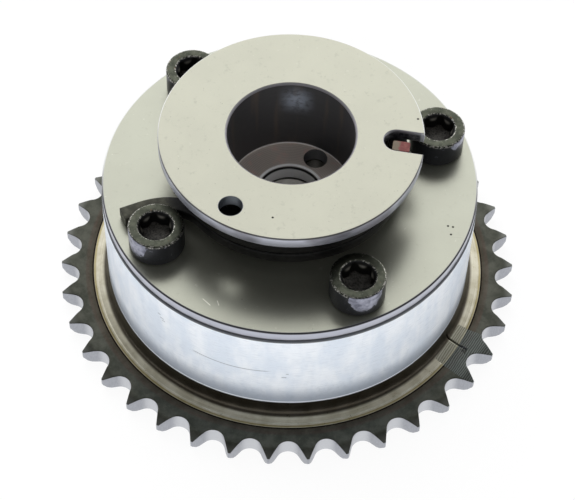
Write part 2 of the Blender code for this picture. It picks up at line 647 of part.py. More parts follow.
def rotor_outline():
    """Hub circle with four vanes, each with a seal slot in its tip."""
    corners = []
    for i, chamber in enumerate(CHAMBERS):
        start = chamber["middle"] - chamber["half"]
        end = chamber["middle"] + chamber["half"]
        seal = seal_angle(chamber)
        mouth = math.degrees(SEAL_SLOT_WIDTH / 2.0 / VANE_TIP_RADIUS)
        corners.append((polar(HUB_RADIUS, start), HUB_CORNER))
        one = arc(VANE_TIP_RADIUS, start, seal - mouth)
        two = arc(VANE_TIP_RADIUS, seal + mouth, end)
        corners.append((one[0], VANE_TIP_CORNER))
        corners += [(point, 0) for point in one[1:-1]]
        corners += slot_corners(seal, VANE_TIP_RADIUS, VANE_SLOT_FLOOR)
        corners += [(point, 0) for point in two[1:-1]]
        corners.append((two[-1], VANE_TIP_CORNER))
        corners.append((polar(HUB_RADIUS, end), HUB_CORNER))
        following = CHAMBERS[(i + 1) % len(CHAMBERS)]
        gap = (following["middle"] - following["half"] - end) % 360.0
        corners += [(point, 0) for point in arc(HUB_RADIUS, end, end + gap)[1:-1]]
    return rounded(corners)


def radial_tool(name, angle, inner, outer, outline):
    """A cutter whose outline lies across a radial line, from an inner to an outer radius."""
    tool = prism(name, outline, inner, outer, "rotor_steel")
    tool.rotation_euler = (0.0, math.pi / 2.0, math.radians(angle))
    return tool


def rotor():
    body = prism("rotor", rotor_outline(), ROTOR_BOTTOM, ROTOR_TOP, "rotor_steel")
    margin = 1.0 * MM
    boss = turned("rear_boss", [(0.0, ROTOR_BOTTOM + margin),
                                (REAR_BOSS_RADIUS, ROTOR_BOTTOM + margin),
                                (REAR_BOSS_RADIUS, REAR_BOSS_END + DRUM_EDGE_BREAK),
                                (REAR_BOSS_RADIUS - DRUM_EDGE_BREAK, REAR_BOSS_END),
                                (0.0, REAR_BOSS_END)], "rotor_steel")
    combine(body, boss, "UNION")
    bores = turned("stepped_bore", [(0.0, ROTOR_TOP + margin),
                                    (SLEEVE_RADIUS + SEAT_GAP, ROTOR_TOP + margin),
                                    (SLEEVE_RADIUS + SEAT_GAP, BUSH_BOTTOM - SEAT_GAP),
                                    (CENTRE_BORE_RADIUS, BUSH_BOTTOM - SEAT_GAP),
                                    (CENTRE_BORE_RADIUS, NOSE_RECESS_FLOOR),
                                    (NOSE_RECESS_RADIUS, NOSE_RECESS_FLOOR),
                                    (NOSE_RECESS_RADIUS, REAR_BOSS_END - margin),
                                    (0.0, REAR_BOSS_END - margin)], "rotor_steel")
    combine(body, bores)
    drill(body, "rotor_pin_hole", CAM_PIN_HOLE_RADIUS, NOSE_RECESS_FLOOR - margin,
          BUSH_BOTTOM + margin, polar(CAM_PIN_CIRCLE_RADIUS, CAM_PIN_ANGLE))
    drill(body, "rotor_dowel_hole", DOWEL_RADIUS + SEAT_GAP,
          BUSH_BOTTOM + DOWEL_IN_BUSH - DOWEL_LENGTH - SEAT_GAP, BUSH_BOTTOM + margin,
          polar(DOWEL_CIRCLE_RADIUS, CAM_PIN_ANGLE + 180.0), DOWEL_SEGMENTS)
    lock = polar(LOCK_PIN_CIRCLE_RADIUS, LOCK_ANGLE)
    drill(body, "lock_bore", LOCK_BORE_RADIUS, ROTOR_BOTTOM - margin, ROTOR_TOP + margin, lock)
    drill(body, "lock_collar_bore", LOCK_COLLAR_BORE_RADIUS, LOCK_PIN_SHOULDER,
          ROTOR_TOP + margin, lock)
    for i, chamber in enumerate(CHAMBERS):
        feed = chamber["middle"] + chamber["half"] + OIL_OFFSET_ANGLE
        drain = chamber["middle"] - chamber["half"] - OIL_OFFSET_ANGLE
        hole = radial_tool(f"oil_drilling_{i + 1}", feed, CENTRE_BORE_RADIUS - 2.0 * margin,
                           HUB_RADIUS + margin, circle(OIL_DRILLING_RADIUS, DRILLING_SEGMENTS))
        hole.location.z = OIL_DRILLING_HEIGHT
        combine(body, hole)
        half = OIL_GROOVE_WIDTH / 2.0
        sides = [(-OIL_GROOVE_DEPTH, -half), (margin, -half), (margin, half),
                 (-OIL_GROOVE_DEPTH, half)]
        groove = radial_tool(f"oil_groove_{i + 1}", drain, REAR_BOSS_RADIUS + RUNNING_GAP,
                             HUB_RADIUS + margin, sides)
        groove.location.z = ROTOR_BOTTOM
        combine(body, groove)
    return body


# Seal strips and leaf springs

def seal(name, angle, inner, outer):
    half = SEAL_WIDTH / 2.0
    outline = [polar(inner, angle, -half), polar(outer, angle, -half),
               polar(outer, angle, half), polar(inner, angle, half)]
    return prism(name, outline, ROTOR_BOTTOM, ROTOR_TOP, "seal_polymer")


def leaf_spring(name, angle, slot_floor, direction):
    """A bowed strip: its ends stand on the slot's floor and its middle carries the seal."""
    length = ROTOR_TOP - ROTOR_BOTTOM - 2.0 * LEAF_END_MARGIN
    half_width = SEAL_WIDTH / 2.0
    half = LEAF_THICKNESS / 2.0
    x, y = polar(1.0, angle)
    stations = []
    for i in range(LEAF_STEPS + 1):
        t = 2.0 * i / LEAF_STEPS - 1.0
        lift = SEAT_GAP + half + LEAF_BOW * (1.0 - t * t)
        radius = slot_floor + direction * lift
        height = ROTOR_BOTTOM + LEAF_END_MARGIN + length * (t + 1.0) / 2.0
        centre = (radius * x, radius * y, height)
        stations.append((centre, (-y, x, 0.0), (x, y, 0.0)))
    section = [(-half_width, -half), (half_width, -half), (half_width, half),
               (-half_width, half)]
    return swept(name, stations, section, "leaf_steel")


def seals():
    for i, chamber in enumerate(CHAMBERS):
        angle = seal_angle(chamber)
        half = SEAL_WIDTH / 2.0
        outer = math.sqrt(VANE_SEAL_RADIUS ** 2 - half ** 2)
        seal(f"vane_seal_{i + 1}", angle, VANE_SEAL_RADIUS - SEAL_HEIGHT, outer)
        leaf_spring(f"vane_seal_spring_{i + 1}", angle, VANE_SLOT_FLOOR, 1.0)
    for i, angle in enumerate(BOLT_ANGLES):
        seal(f"lobe_seal_{i + 1}", angle, LOBE_SEAL_RADIUS, LOBE_SEAL_RADIUS + SEAL_HEIGHT)
        leaf_spring(f"lobe_seal_spring_{i + 1}", angle, LOBE_SLOT_FLOOR, -1.0)


# Lock pin

def lock_pin():
    top = LOCK_PIN_LENGTH
    collar = LOCK_COLLAR_BOTTOM - LOCK_PIN_TIP
    taper = LOCK_PIN_NOSE_TAPER
    profile = [(0.0, 0.0), (LOCK_PIN_RADIUS - taper, 0.0), (LOCK_PIN_RADIUS, LOCK_PIN_ENGAGEMENT),
               (LOCK_PIN_RADIUS, collar), (LOCK_PIN_COLLAR_RADIUS, collar),
               (LOCK_PIN_COLLAR_RADIUS, top), (LOCK_PIN_BORE_RADIUS, top),
               (LOCK_PIN_BORE_RADIUS, LOCK_PIN_NOSE_WALL), (0.0, LOCK_PIN_NOSE_WALL)]
    pin = turned("lock_pin", profile, "lock_pin_steel", SMALL_SEGMENTS)
    pin.location = (*polar(LOCK_PIN_CIRCLE_RADIUS, LOCK_ANGLE), LOCK_PIN_TIP)
    return pin


def lock_pin_spring():
    """A coil between the bottom of the pin's bore and the cap."""
    wire = LOCK_SPRING_WIRE_RADIUS
    radius = LOCK_PIN_BORE_RADIUS - SEAT_GAP - wire
    bottom = LOCK_PIN_TIP + LOCK_PIN_NOSE_WALL + SEAT_GAP + wire
    top = LOCK_CAP_BOTTOM - SEAT_GAP - wire
    steps = FINE_COIL_STEPS * LOCK_SPRING_TURNS
    slope = (top - bottom) / (2.0 * math.pi * radius * LOCK_SPRING_TURNS)
    length = math.hypot(1.0, slope)
    stations = []
    for i in range(steps + 1):
        a = 2.0 * math.pi * LOCK_SPRING_TURNS * i / steps
        x, y = math.cos(a), math.sin(a)
        centre = (radius * x, radius * y, bottom + (top - bottom) * i / steps)
        up = (y * slope / length, -x * slope / length, 1.0 / length)
        stations.append((centre, (x, y, 0.0), up))
    spring = swept("lock_pin_spring", stations, circle(wire, WIRE_SEGMENTS), "lock_spring_steel")
    spring.location = (*polar(LOCK_PIN_CIRCLE_RADIUS, LOCK_ANGLE), 0.0)
    return spring


def lock_pin_cap():
    radius = LOCK_COLLAR_BORE_RADIUS - SEAT_GAP
    profile = [(LOCK_CAP_VENT_RADIUS, LOCK_CAP_THICKNESS), (radius, LOCK_CAP_THICKNESS),
               (radius, 0.0), (LOCK_CAP_VENT_RADIUS, 0.0)]
    cap = turned("lock_pin_cap", profile, "lock_cap_steel", SMALL_SEGMENTS)
    cap.location = (*polar(LOCK_PIN_CIRCLE_RADIUS, LOCK_ANGLE), LOCK_CAP_BOTTOM)
    return cap


def lock_pin_seat():
    bore = LOCK_PIN_RADIUS + SEAT_GAP
    top = LOCK_SEAT_HEIGHT
    profile = [(bore + LOCK_SEAT_CHAMFER, top), (LOCK_SEAT_OUTER_RADIUS, top),
               (LOCK_SEAT_OUTER_RADIUS, 0.0), (bore, 0.0), (bore, top - LOCK_SEAT_CHAMFER)]
    seat = turned("lock_pin_seat", profile, "lock_seat_steel", SMALL_SEGMENTS)
    seat.location = (*polar(LOCK_PIN_CIRCLE_RADIUS, LOCK_ANGLE), LOCK_SEAT_BOTTOM)
    return seat


# Bias spring

def wire_section():
    """The wire's cross section, with its corners broken."""
    w, h, c = WIRE_WIDTH / 2.0, WIRE_HEIGHT / 2.0, WIRE_CORNER
    return [(-w, -h + c), (-w + c, -h), (w - c, -h), (w, -h + c),
            (w, h - c), (w - c, h), (-w + c, h), (-w, h - c)]


def tang_place(radius):
    """The tang's middle in plan: on the coil's mean circle, against the slot's near wall."""
    sideways = SLOT_OFFSET - SLOT_WIDTH / 2.0 + SEAT_GAP + WIRE_HEIGHT / 2.0
    ahead_x, ahead_y = polar(1.0, SLOT_ANGLE)
    along = COIL_SHIFT * ahead_y
    across = sideways - COIL_SHIFT * ahead_x
    return polar(along + math.sqrt(radius ** 2 - across ** 2), SLOT_ANGLE, sideways)


def tang_stations(radius, high):
    """From the tang's end face down through its bend to the start of the coil."""
    x, y = tang_place(radius)
    angle = math.degrees(math.atan2(y - COIL_SHIFT, x))
    ax, ay = polar(1.0, angle)
    fx, fy = ay, -ax
    bend = TANG_BEND_RADIUS + WIRE_HEIGHT / 2.0
    stations = [((x, y, DISC_TOP - TANG_BELOW_DISC_TOP), (ax, ay, 0.0), (fx, fy, 0.0))]
    for i in range(BEND_STEPS + 1):
        a = math.pi / 2.0 * i / BEND_STEPS
        along = bend * (1.0 - math.cos(a))
        centre = (x + fx * along, y + fy * along, high + bend * (1.0 - math.sin(a)))
        up = (fx * math.cos(a), fy * math.cos(a), math.sin(a))
        stations.append((centre, (ax, ay, 0.0), up))
    return stations, angle - math.degrees(bend / radius)


def leg_stations(radius, coil_end):
    """The hook's arc, which touches the coil's circle and passes the bolt head, then the end.

    The wire drops from the coil's last height to the cover plate along the arc. Returns the
    stations for a given end height and the angle where the wire leaves the coil.
    """
    bx, by = polar(BOLT_CIRCLE_RADIUS, BOLT_ANGLES[ANCHOR_BOLT])
    reach = BOLT_HEAD_DIAMETER / 2.0 + SEAT_GAP + WIRE_WIDTH / 2.0
    ux, uy = polar(1.0, HOOK_CONTACT_ANGLE)
    px, py = bx + reach * ux, by + reach * uy - COIL_SHIFT
    bend = ((px * px + py * py - radius * radius)
            / (2.0 * (radius + px * ux + py * uy)))
    centre = (bx + (reach - bend) * ux, by + (reach - bend) * uy)
    leave = math.degrees(math.atan2(centre[1] - COIL_SHIFT, centre[0])) % 360.0
    points = arc(bend, leave - 180.0, HOOK_END_HEADING - 90.0, centre, HOOK_STEP_ANGLE)[1:]
    stations = []
    for i, (x, y) in enumerate(points):
        share = (i + 1.0) / len(points)
        smooth = share * share * (3.0 - 2.0 * share)
        across = ((centre[0] - x) / bend, (centre[1] - y) / bend, 0.0)
        stations.append(((x, y, coil_end + (COIL_LOW - coil_end) * smooth), across, (0.0, 0.0, 1.0)))
    (x, y, z), across, up = stations[-1]
    ex, ey = polar(LEG_END_LENGTH, HOOK_END_HEADING)
    stations.append(((x + ex, y + ey, z), across, up))
    return stations, leave


def bias_spring():
    radius = COIL_OUTER_RADIUS - WIRE_WIDTH / 2.0
    stations, start = tang_stations(radius, COIL_HIGH)
    leave = leg_stations(radius, COIL_HIGH)[1]
    sweep = (start - leave) % 360.0 + 360.0 * FULL_COIL_TURNS
    steps = math.ceil(sweep / COIL_STEP_ANGLE)
    for i in range(1, steps + 1):
        turned_angle = sweep * i / steps
        x, y = polar(1.0, start - turned_angle)
        height = COIL_HIGH - COIL_PITCH * turned_angle / 360.0
        centre = (radius * x, radius * y + COIL_SHIFT, height)
        stations.append((centre, (x, y, 0.0), (0.0, 0.0, 1.0)))
    stations += leg_stations(radius, COIL_HIGH - COIL_PITCH * sweep / 360.0)[0]
    return swept("bias_spring", stations, wire_section(), "spring_steel")


def main():
    for obj in list(bpy.data.objects):
        bpy.data.objects.remove(obj, do_unlink=True)
    sprocket_housing()
    cover_plate()
    for i, angle in enumerate(BOLT_ANGLES):
        cover_bolt(i + 1, angle)
    front_bush()
    bush_dowel()
    rotor()
    seals()
    lock_pin()
    lock_pin_spring()
    lock_pin_cap()
    lock_pin_seat()
    bias_spring()


main()
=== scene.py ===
import math

import bmesh
import bpy
import numpy as np
from mathutils import Matrix, Vector
from mathutils.geometry import tessellate_polygon


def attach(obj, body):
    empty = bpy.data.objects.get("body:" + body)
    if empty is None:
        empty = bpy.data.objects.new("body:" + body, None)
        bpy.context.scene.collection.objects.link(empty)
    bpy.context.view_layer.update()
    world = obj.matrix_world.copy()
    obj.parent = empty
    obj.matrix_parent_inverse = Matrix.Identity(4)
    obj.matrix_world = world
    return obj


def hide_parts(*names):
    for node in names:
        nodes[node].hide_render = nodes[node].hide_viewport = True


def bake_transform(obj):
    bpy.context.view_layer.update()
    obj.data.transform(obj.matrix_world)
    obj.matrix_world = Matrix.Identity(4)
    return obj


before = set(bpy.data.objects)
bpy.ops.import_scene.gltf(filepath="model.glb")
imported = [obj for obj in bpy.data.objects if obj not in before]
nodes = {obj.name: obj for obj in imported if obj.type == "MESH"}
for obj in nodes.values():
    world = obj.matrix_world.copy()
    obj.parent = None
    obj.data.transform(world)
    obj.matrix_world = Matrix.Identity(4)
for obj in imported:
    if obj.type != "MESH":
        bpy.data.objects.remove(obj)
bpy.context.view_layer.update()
mm = 0.001
print("frame loaded:", len(nodes), "nodes")

# sizes are in millimetres, angles in degrees and colours in red, green and blue from 0 to 255


# Plane curves as (n, 2) arrays

# the point at a radius and an angle, then moved sideways, square to that radius
def polar(radius, angle, sideways=0.0):
    a = np.radians(angle)
    return np.stack([radius * np.cos(a) - sideways * np.sin(a),
                     radius * np.sin(a) + sideways * np.cos(a)], axis=-1)


# points at equal angles round a centre
def circle(radius, count, centre=(0.0, 0.0)):
    return polar(radius, np.arange(count) * 360.0 / count) + np.array(centre)


# points from one angle to another, at most a step of degrees apart
def arc(radius, start, end, step, centre=(0.0, 0.0)):
    count = max(1, math.ceil(abs(end - start) / step))
    return polar(radius, np.linspace(start, end, count + 1)) + np.array(centre)


# each corner that has a radius becomes an arc that touches both of its sides; the arc's centre
# lies on the line that halves the corner
def roundCorners(corners, radii, steps=5):
    corners, radii = np.asarray(corners, float), np.asarray(radii, float)
    rounded = radii > 0.0
    places = corners[rounded]
    before = np.roll(corners, 1, 0)[rounded] - places
    after = np.roll(corners, -1, 0)[rounded] - places
    lengthA, lengthB = np.linalg.norm(before, axis=1), np.linalg.norm(after, axis=1)
    before, after = before / lengthA[:, None], after / lengthB[:, None]
    half = np.arccos(np.clip((before * after).sum(axis=1), -1.0, 1.0)) / 2.0
    reach = np.minimum(radii[rounded] / np.tan(half), 0.9 * np.minimum(lengthA, lengthB))
    middle = before + after
    scale = reach / np.cos(half) / np.linalg.norm(middle, axis=1)
    centre = places + middle * scale[:, None]
    first = places + before * reach[:, None] - centre
    last = places + after * reach[:, None] - centre
    start, end = [np.arctan2(way[:, 1], way[:, 0])[:, None] for way in (first, last)]
    sweep = (end - start + math.pi) % (2.0 * math.pi) - math.pi
    angles = np.degrees(start + sweep * np.linspace(0.0, 1.0, steps + 1))
    arcs = polar(np.linalg.norm(first, axis=1)[:, None], angles) + centre[:, None]
    counts = np.where(rounded, steps + 1, 1)
    outline = np.repeat(corners, counts, axis=0)
    outline[np.repeat(rounded, counts)] = arcs.reshape(-1, 2)
    return outline


# the outline moved inwards along its own normals
def inset(outline, amount):
    along = np.roll(outline, -1, 0) - np.roll(outline, 1, 0)
    along /= np.linalg.norm(along, axis=1)[:, None]
    return outline + np.stack([-along[:, 1], along[:, 0]], axis=1) * np.reshape(amount, (-1, 1))


# a quarter round between two sides: how far in and how far down each of its points lies
def quarter(radius, steps):
    a = np.linspace(0.0, math.pi / 2.0, steps + 1)
    return np.column_stack([radius * (1.0 - np.sin(a)), radius * (1.0 - np.cos(a))])


class Shell:
    # rings of points in millimetres, smooth bands between them and flat caps that close them

    def __init__(self):
        self.points, self.total = [], 0
        self.quads, self.triangles = [np.zeros((0, 4), int)], [np.zeros((0, 3), int)]

    def ring(self, outline, height):
        height = np.broadcast_to(height, len(outline))
        self.points.append(np.column_stack([outline, height]))
        self.total += len(outline)
        return np.arange(self.total - len(outline), self.total)

    def skin(self, rings):
        for one, two in zip(rings, rings[1:]):
            self.quads.append(np.column_stack([one, np.roll(one, -1), np.roll(two, -1), two]))
        return rings

    # rings that are circles about a centre, from (radius, height) pairs
    def turned(self, profile, count, centre=(0.0, 0.0)):
        return self.skin([self.ring(circle(r, count, centre), h) for r, h in profile])

    # a straight round wall from one height to another
    def hole(self, radius, start, end, count, centre=(0.0, 0.0)):
        return self.turned([(radius, start), (radius, end)], count, centre)

    # one flat face inside the first loop, with the other loops as its holes
    def cap(self, *loops):
        places = np.concatenate(self.points)
        faces = tessellate_polygon([places[loop].tolist() for loop in loops])
        self.triangles.append(np.concatenate(loops)[np.array(faces)])

    def finish(self, name, sharpAngle=40.0):
        parts = [np.concatenate(rows) for rows in (self.points, self.quads, self.triangles)]
        return closedMesh(name, *parts, sharpAngle)


# joins points that fall together, turns every face outwards and shades all but the flat caps
def closedMesh(name, points, quads, triangles, sharpAngle):
    mesh = bpy.data.meshes.new(name)
    mesh.from_pydata((points * mm).tolist(), [], quads.tolist() + triangles.tolist())
    smooth = np.zeros(len(mesh.polygons), bool)
    smooth[:len(quads)] = True
    mesh.polygons.foreach_set("use_smooth", smooth)
    cleaned(mesh, sharpAngle)
    return newObject(name, mesh)


def newObject(name, data):
    made = bpy.data.objects.new(name, data)
    bpy.context.collection.objects.link(made)
    return made


def vertexPlaces(mesh):
    places = np.zeros(len(mesh.vertices) * 3)
    mesh.vertices.foreach_get("co", places)
    return places.reshape(-1, 3)


# marking the sharp edges forgets which faces are flat, so that is noted before and put back
def cleaned(mesh, sharpAngle):
    bm = bmesh.new()
    bm.from_mesh(mesh)
    bmesh.ops.remove_doubles(bm, verts=bm.verts, dist=1e-6)
    bmesh.ops.dissolve_degenerate(bm, edges=bm.edges, dist=1e-7)
    bmesh.ops.recalc_face_normals(bm, faces=bm.faces)
    bm.to_mesh(mesh)
    bm.free()
    smooth = np.zeros(len(mesh.polygons), bool)
    mesh.polygons.foreach_get("use_smooth", smooth)
    mesh.set_sharp_from_angle(angle=math.radians(sharpAngle))
    mesh.polygons.foreach_set("use_smooth", smooth)


def place(piece, body, finish, *replaced):
    piece.data.materials.clear()
    piece.data.materials.append(finish)
    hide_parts(*replaced)
    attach(piece, body)
    print(piece.name, len(piece.data.polygons), "faces")


# Shader maths

class Value:
    # a socket that adds Math nodes to its tree when Python does sums with it

    def __init__(self, owner, socket):
        self.owner, self.socket = owner, socket

    def maths(self, operation, *operands):
        return self.owner.add("ShaderNodeMath", {"operation": operation},
                              dict(enumerate(operands)))[0]

    def __add__(self, other): return self.maths("ADD", self, other)
    def __radd__(self, other): return self.maths("ADD", other, self)
    def __sub__(self, other): return self.maths("SUBTRACT", self, other)
    def __rsub__(self, other): return self.maths("SUBTRACT", other, self)
    def __mul__(self, other): return self.maths("MULTIPLY", self, other)
    def __rmul__(self, other): return self.maths("MULTIPLY", other, self)
    def __pow__(self, other): return self.maths("POWER", self, other)
    def __abs__(self): return self.maths("ABSOLUTE", self)

    def least(self, other): return self.maths("MINIMUM", self, other)
    def most(self, other): return self.maths("MAXIMUM", self, other)

    # a sine that swings from 0 to 1 and back over a length
    def wave(self, length):
        return self.maths("SINE", self * (2.0 * math.pi / length)) * 0.5 + 0.5

    # 0 below the first value, 1 above the second, smooth between them; also falls if they do
    def rise(self, low, high):
        if low > high:
            return 1.0 - self.rise(high, low)
        return self.owner.add("ShaderNodeMapRange", {"interpolation_type": "SMOOTHSTEP"},
                              {"Value": self, "From Min": low, "From Max": high})[0]

    # 1 at a value and 0 further from it than a width
    def near(self, value, width):
        return abs(self - value).rise(width, width * 0.3)


class Outputs:
    # a node's outputs by number or by name; going past the last one ends an unpacking

    def __init__(self, owner, node):
        self.owner, self.node = owner, node

    def __getitem__(self, key):
        if isinstance(key, int) and key >= len(self.node.outputs):
            raise IndexError(key)
        return Value(self.owner, self.node.outputs[key])


class Nodes:
    # a node tree and the one way in which nodes are added to it

    def __init__(self, tree):
        self.tree = tree

    # any node: its settings first, then the values or links of its sockets
    def add(self, kind, settings=None, sockets=None):
        node = self.tree.nodes.new(kind)
        for key, value in (settings or {}).items():
            setattr(node, key, value)
        self.connect(node, sockets or {})
        return Outputs(self, node)

    def connect(self, node, sockets):
        for key, value in sockets.items():
            if isinstance(value, Value):
                self.tree.links.new(value.socket, node.inputs[key])
            else:
                node.inputs[key].default_value = value


# a colour as seen on a screen, 0 to 255, as the light it stands for; a link stays as it is
def linear(colour):
    if isinstance(colour, Value):
        return colour
    c = np.array(colour, float) / 255.0
    c = np.where(c <= 0.04045, c / 12.92, ((c + 0.055) / 1.055) ** 2.4)
    return (*c.tolist(), 1.0)


class Finish(Nodes):
    # a material and the nodes that its look is worked out with, in millimetres

    def __init__(self, name):
        self.material = bpy.data.materials.new(name)
        self.material.use_nodes = True
        super().__init__(self.material.node_tree)
        self.shader = self.tree.nodes["Principled BSDF"]
        metres = self.add("ShaderNodeTexCoord")["Object"]
        self.place = self.add("ShaderNodeVectorMath", {"operation": "SCALE"},
                              {0: metres, "Scale": 1.0 / mm})[0]
        self.x, self.y, self.z = self.add("ShaderNodeSeparateXYZ", {}, {0: self.place})
        self.radius = (self.x * self.x + self.y * self.y) ** 0.5
        self.angle = self.x.maths("ARCTAN2", self.y, self.x)

    def vector(self, x, y, z):
        return self.add("ShaderNodeCombineXYZ", {}, {0: x, 1: y, 2: z})[0]

    # smooth noise from 0 to 1 with features about size millimetres wide; a squash above 1
    # makes them flatter in z and below 1 taller, and at gives another place to read it from
    def noise(self, size, detail, roughness, at=None, seed=0.0, squash=None):
        if squash:
            at = self.vector(self.x, self.y, self.z * squash)
        sockets = {"Vector": at or self.place, "W": seed, "Scale": 1.0 / size,
                   "Detail": detail, "Roughness": roughness}
        return self.add("ShaderNodeTexNoise", {"noise_dimensions": "4D"}, sockets)[0]

    # a colour between two others; each is red, green and blue from 0 to 255 or a link
    def mix(self, one, two, share):
        sockets = {0: share, 6: linear(one), 7: linear(two)}
        return self.add("ShaderNodeMix", {"data_type": "RGBA"}, sockets)[2]

    # a colour with others laid over it in turn, each given as (colour, share)
    def layers(self, colour, *coats):
        for coat, share in coats:
            colour = self.mix(colour, coat, share)
        return colour

    # distance in millimetres to the nearest place in a list of (x, y)
    def nearest(self, places):
        found = None
        for px, py in places:
            dx, dy = self.x - px, self.y - py
            distance = (dx * dx + dy * dy) ** 0.5
            found = distance if found is None else found.least(distance)
        return found

    # the shader's sockets; height is a bump that is depth millimetres deep
    def finish(self, colour, roughness, height=None, depth=0.0, metallic=1.0):
        sockets = {"Base Color": linear(colour), "Roughness": roughness, "Metallic": metallic}
        if height is not None:
            sockets["Normal"] = self.add("ShaderNodeBump", {}, {
                "Height": height, "Strength": 1.0, "Distance": depth * mm})[0]
        self.connect(self.shader, sockets)
        return self.material


# Sprocket and drum

housing = {
    "teeth": 38, "firstTooth": 153.15, "pitch": 8.0, "seatRadius": 2.55, "seatHalfAngle": 64.0,
    "tipRadius": 49.9, "tipWidth": 0.5, "thickness": 4.25, "edge": 0.13,
    "frontBevel": (2.3, 0.8), "bevelStart": -2.0, "bevelSoftness": 0.12, "rearBevel": (1.1, 1.6),
    "faceRings": (43.6, 44.8, 45.8, 46.6, 47.1, 47.5, 47.9, 48.4, 49.0),
    "drumRadius": 39.3, "drumTop": 31.2, "drumEdge": 0.4,
    "coveTop": 8.6, "coveFoot": (40.6, 4.85), "shoulder": 42.7,
    "floor": 9.4, "chamberRadius": 34.25, "chamberCorner": 1.0,
    "bolts": (17.7, 131.9, 214.3, 295.8), "boltCircle": 32.1, "boltHole": 3.3,
    "boltHoleFloor": 14.0, "lobeHalf": 18.0, "stopExtra": 4.0, "lobeCorner": 1.2,
    "noseRadius": 21.3, "slotWidth": 2.8, "lobeSlotFloor": 25.2,
    "rearBore": 16.75, "rearBoreEdge": 0.3, "rotorTurn": 22.5, "lockPast": 8.0,
    "lockCircle": 26.95, "lockPocket": 6.3, "lockPocketFloor": 4.5, "lockVent": 1.5,
    "markAngle": 330.7, "mark": (39.5, 44.2), "markWidth": 0.5, "markHook": 0.9,
    "markDepth": 0.35, "milledAngle": 329.65, "milled": (-37.7, -23.0), "milledPitch": 0.45,
    "drumSteel": ((225, 234, 245), (243, 248, 254)),
    "ringSteel": ((186, 181, 160), (212, 208, 190)),
    "faceSteel": ((92, 93, 85), (70, 72, 65)), "wallSteel": ((146, 148, 155), (184, 187, 194)),
    "milledFace": ((122, 128, 126), (56, 60, 58)),
    "milledRing": ((172, 173, 160), (108, 106, 94)),
    # round the drum from one angle to another, at a height and with a bow
    "scratches": ((-120.5, -92.5, 19.85, 10.2), (-131.4, -130.0, 26.0, 0.0),
                  (-130.6, -128.8, 25.1, 0.0), (-129.8, -128.4, 24.5, 0.0),
                  (-90.9, -89.2, 18.3, 0.0), (-89.6, -88.6, 19.6, 0.0)),
}


# each gap is a roller seat, an arc about a point of the pitch circle, with straight flanks to
# the two tips beside it; the points go round anticlockwise
def toothOutline(h):
    step = 360.0 / h["teeth"]
    pitchRadius = h["pitch"] / (2.0 * math.sin(math.radians(step / 2.0)))
    tip = h["tipWidth"] / 2.0
    reach = math.sqrt(h["tipRadius"] ** 2 - tip ** 2)
    a = np.radians(np.linspace(-h["seatHalfAngle"], h["seatHalfAngle"], 17))
    seat = np.stack([pitchRadius - h["seatRadius"] * np.cos(a), h["seatRadius"] * np.sin(a)], 1)
    first = polar(reach, -step / 2.0, tip)
    last = polar(reach, step / 2.0, -tip)
    share = np.array([0.06, 0.3, 0.6, 0.85])[:, None]
    gap = np.concatenate([[first], first + (seat[0] - first) * share, seat,
                          last + (seat[-1] - last) * share[::-1], [last]])
    turns = h["firstTooth"] + step * (np.arange(h["teeth"]) + 0.5)
    return polar(gap[:, 0], turns[:, None], gap[:, 1]).reshape(-1, 2)


# a slot's four corners: out on the mouth's circle and in at the floor, half a width aside
def slotCorners(angle, mouth, floor, width):
    half = width / 2.0
    reach = math.sqrt(mouth ** 2 - half ** 2)
    corners = ((reach, -half), (floor, -half), (floor, half), (reach, half))
    return [polar(radius, angle, aside) for radius, aside in corners]


# each chamber as (start, end) degrees; the two stops of the widest one stand further in
def chamberSpans(h):
    bolts = h["bolts"]
    steps = [(bolts[(i + 1) % 4] - bolts[i]) % 360.0 for i in range(4)]
    spans = []
    for i in range(4):
        extra = h["stopExtra"] if steps[i] == max(steps) else 0.0
        spans.append((bolts[i] + h["lobeHalf"] + extra,
                      bolts[i] + steps[i] - h["lobeHalf"] - extra))
    return spans


# the chambers' walls and the lobes' noses are arcs about the axis, joined by straight sides,
# with a seal slot in the middle of each nose
def chamberOutline(h):
    spans = chamberSpans(h)
    corners, radii = [], []
    for i, (start, end) in enumerate(spans):
        wall = arc(h["chamberRadius"], start, end, 4.0)
        corners += list(wall)
        radii += [h["chamberCorner"]] + [0] * (len(wall) - 2) + [h["chamberCorner"]]
        lobe = h["bolts"][(i + 1) % 4]
        mouth = math.degrees(h["slotWidth"] / 2.0 / h["noseRadius"])
        nextStart = spans[(i + 1) % 4][0]
        one = arc(h["noseRadius"], lobe - (lobe - end) % 360.0, lobe - mouth, 4.0)
        two = arc(h["noseRadius"], lobe + mouth, lobe + (nextStart - lobe) % 360.0, 4.0)
        corners += list(one[:-1])
        radii += [h["lobeCorner"]] + [0] * (len(one) - 2)
        corners += slotCorners(lobe, h["noseRadius"], h["lobeSlotFloor"], h["slotWidth"])
        radii += [0] * 4
        corners += list(two[1:])
        radii += [0] * (len(two) - 2) + [h["lobeCorner"]]
    return roundCorners(corners, radii)


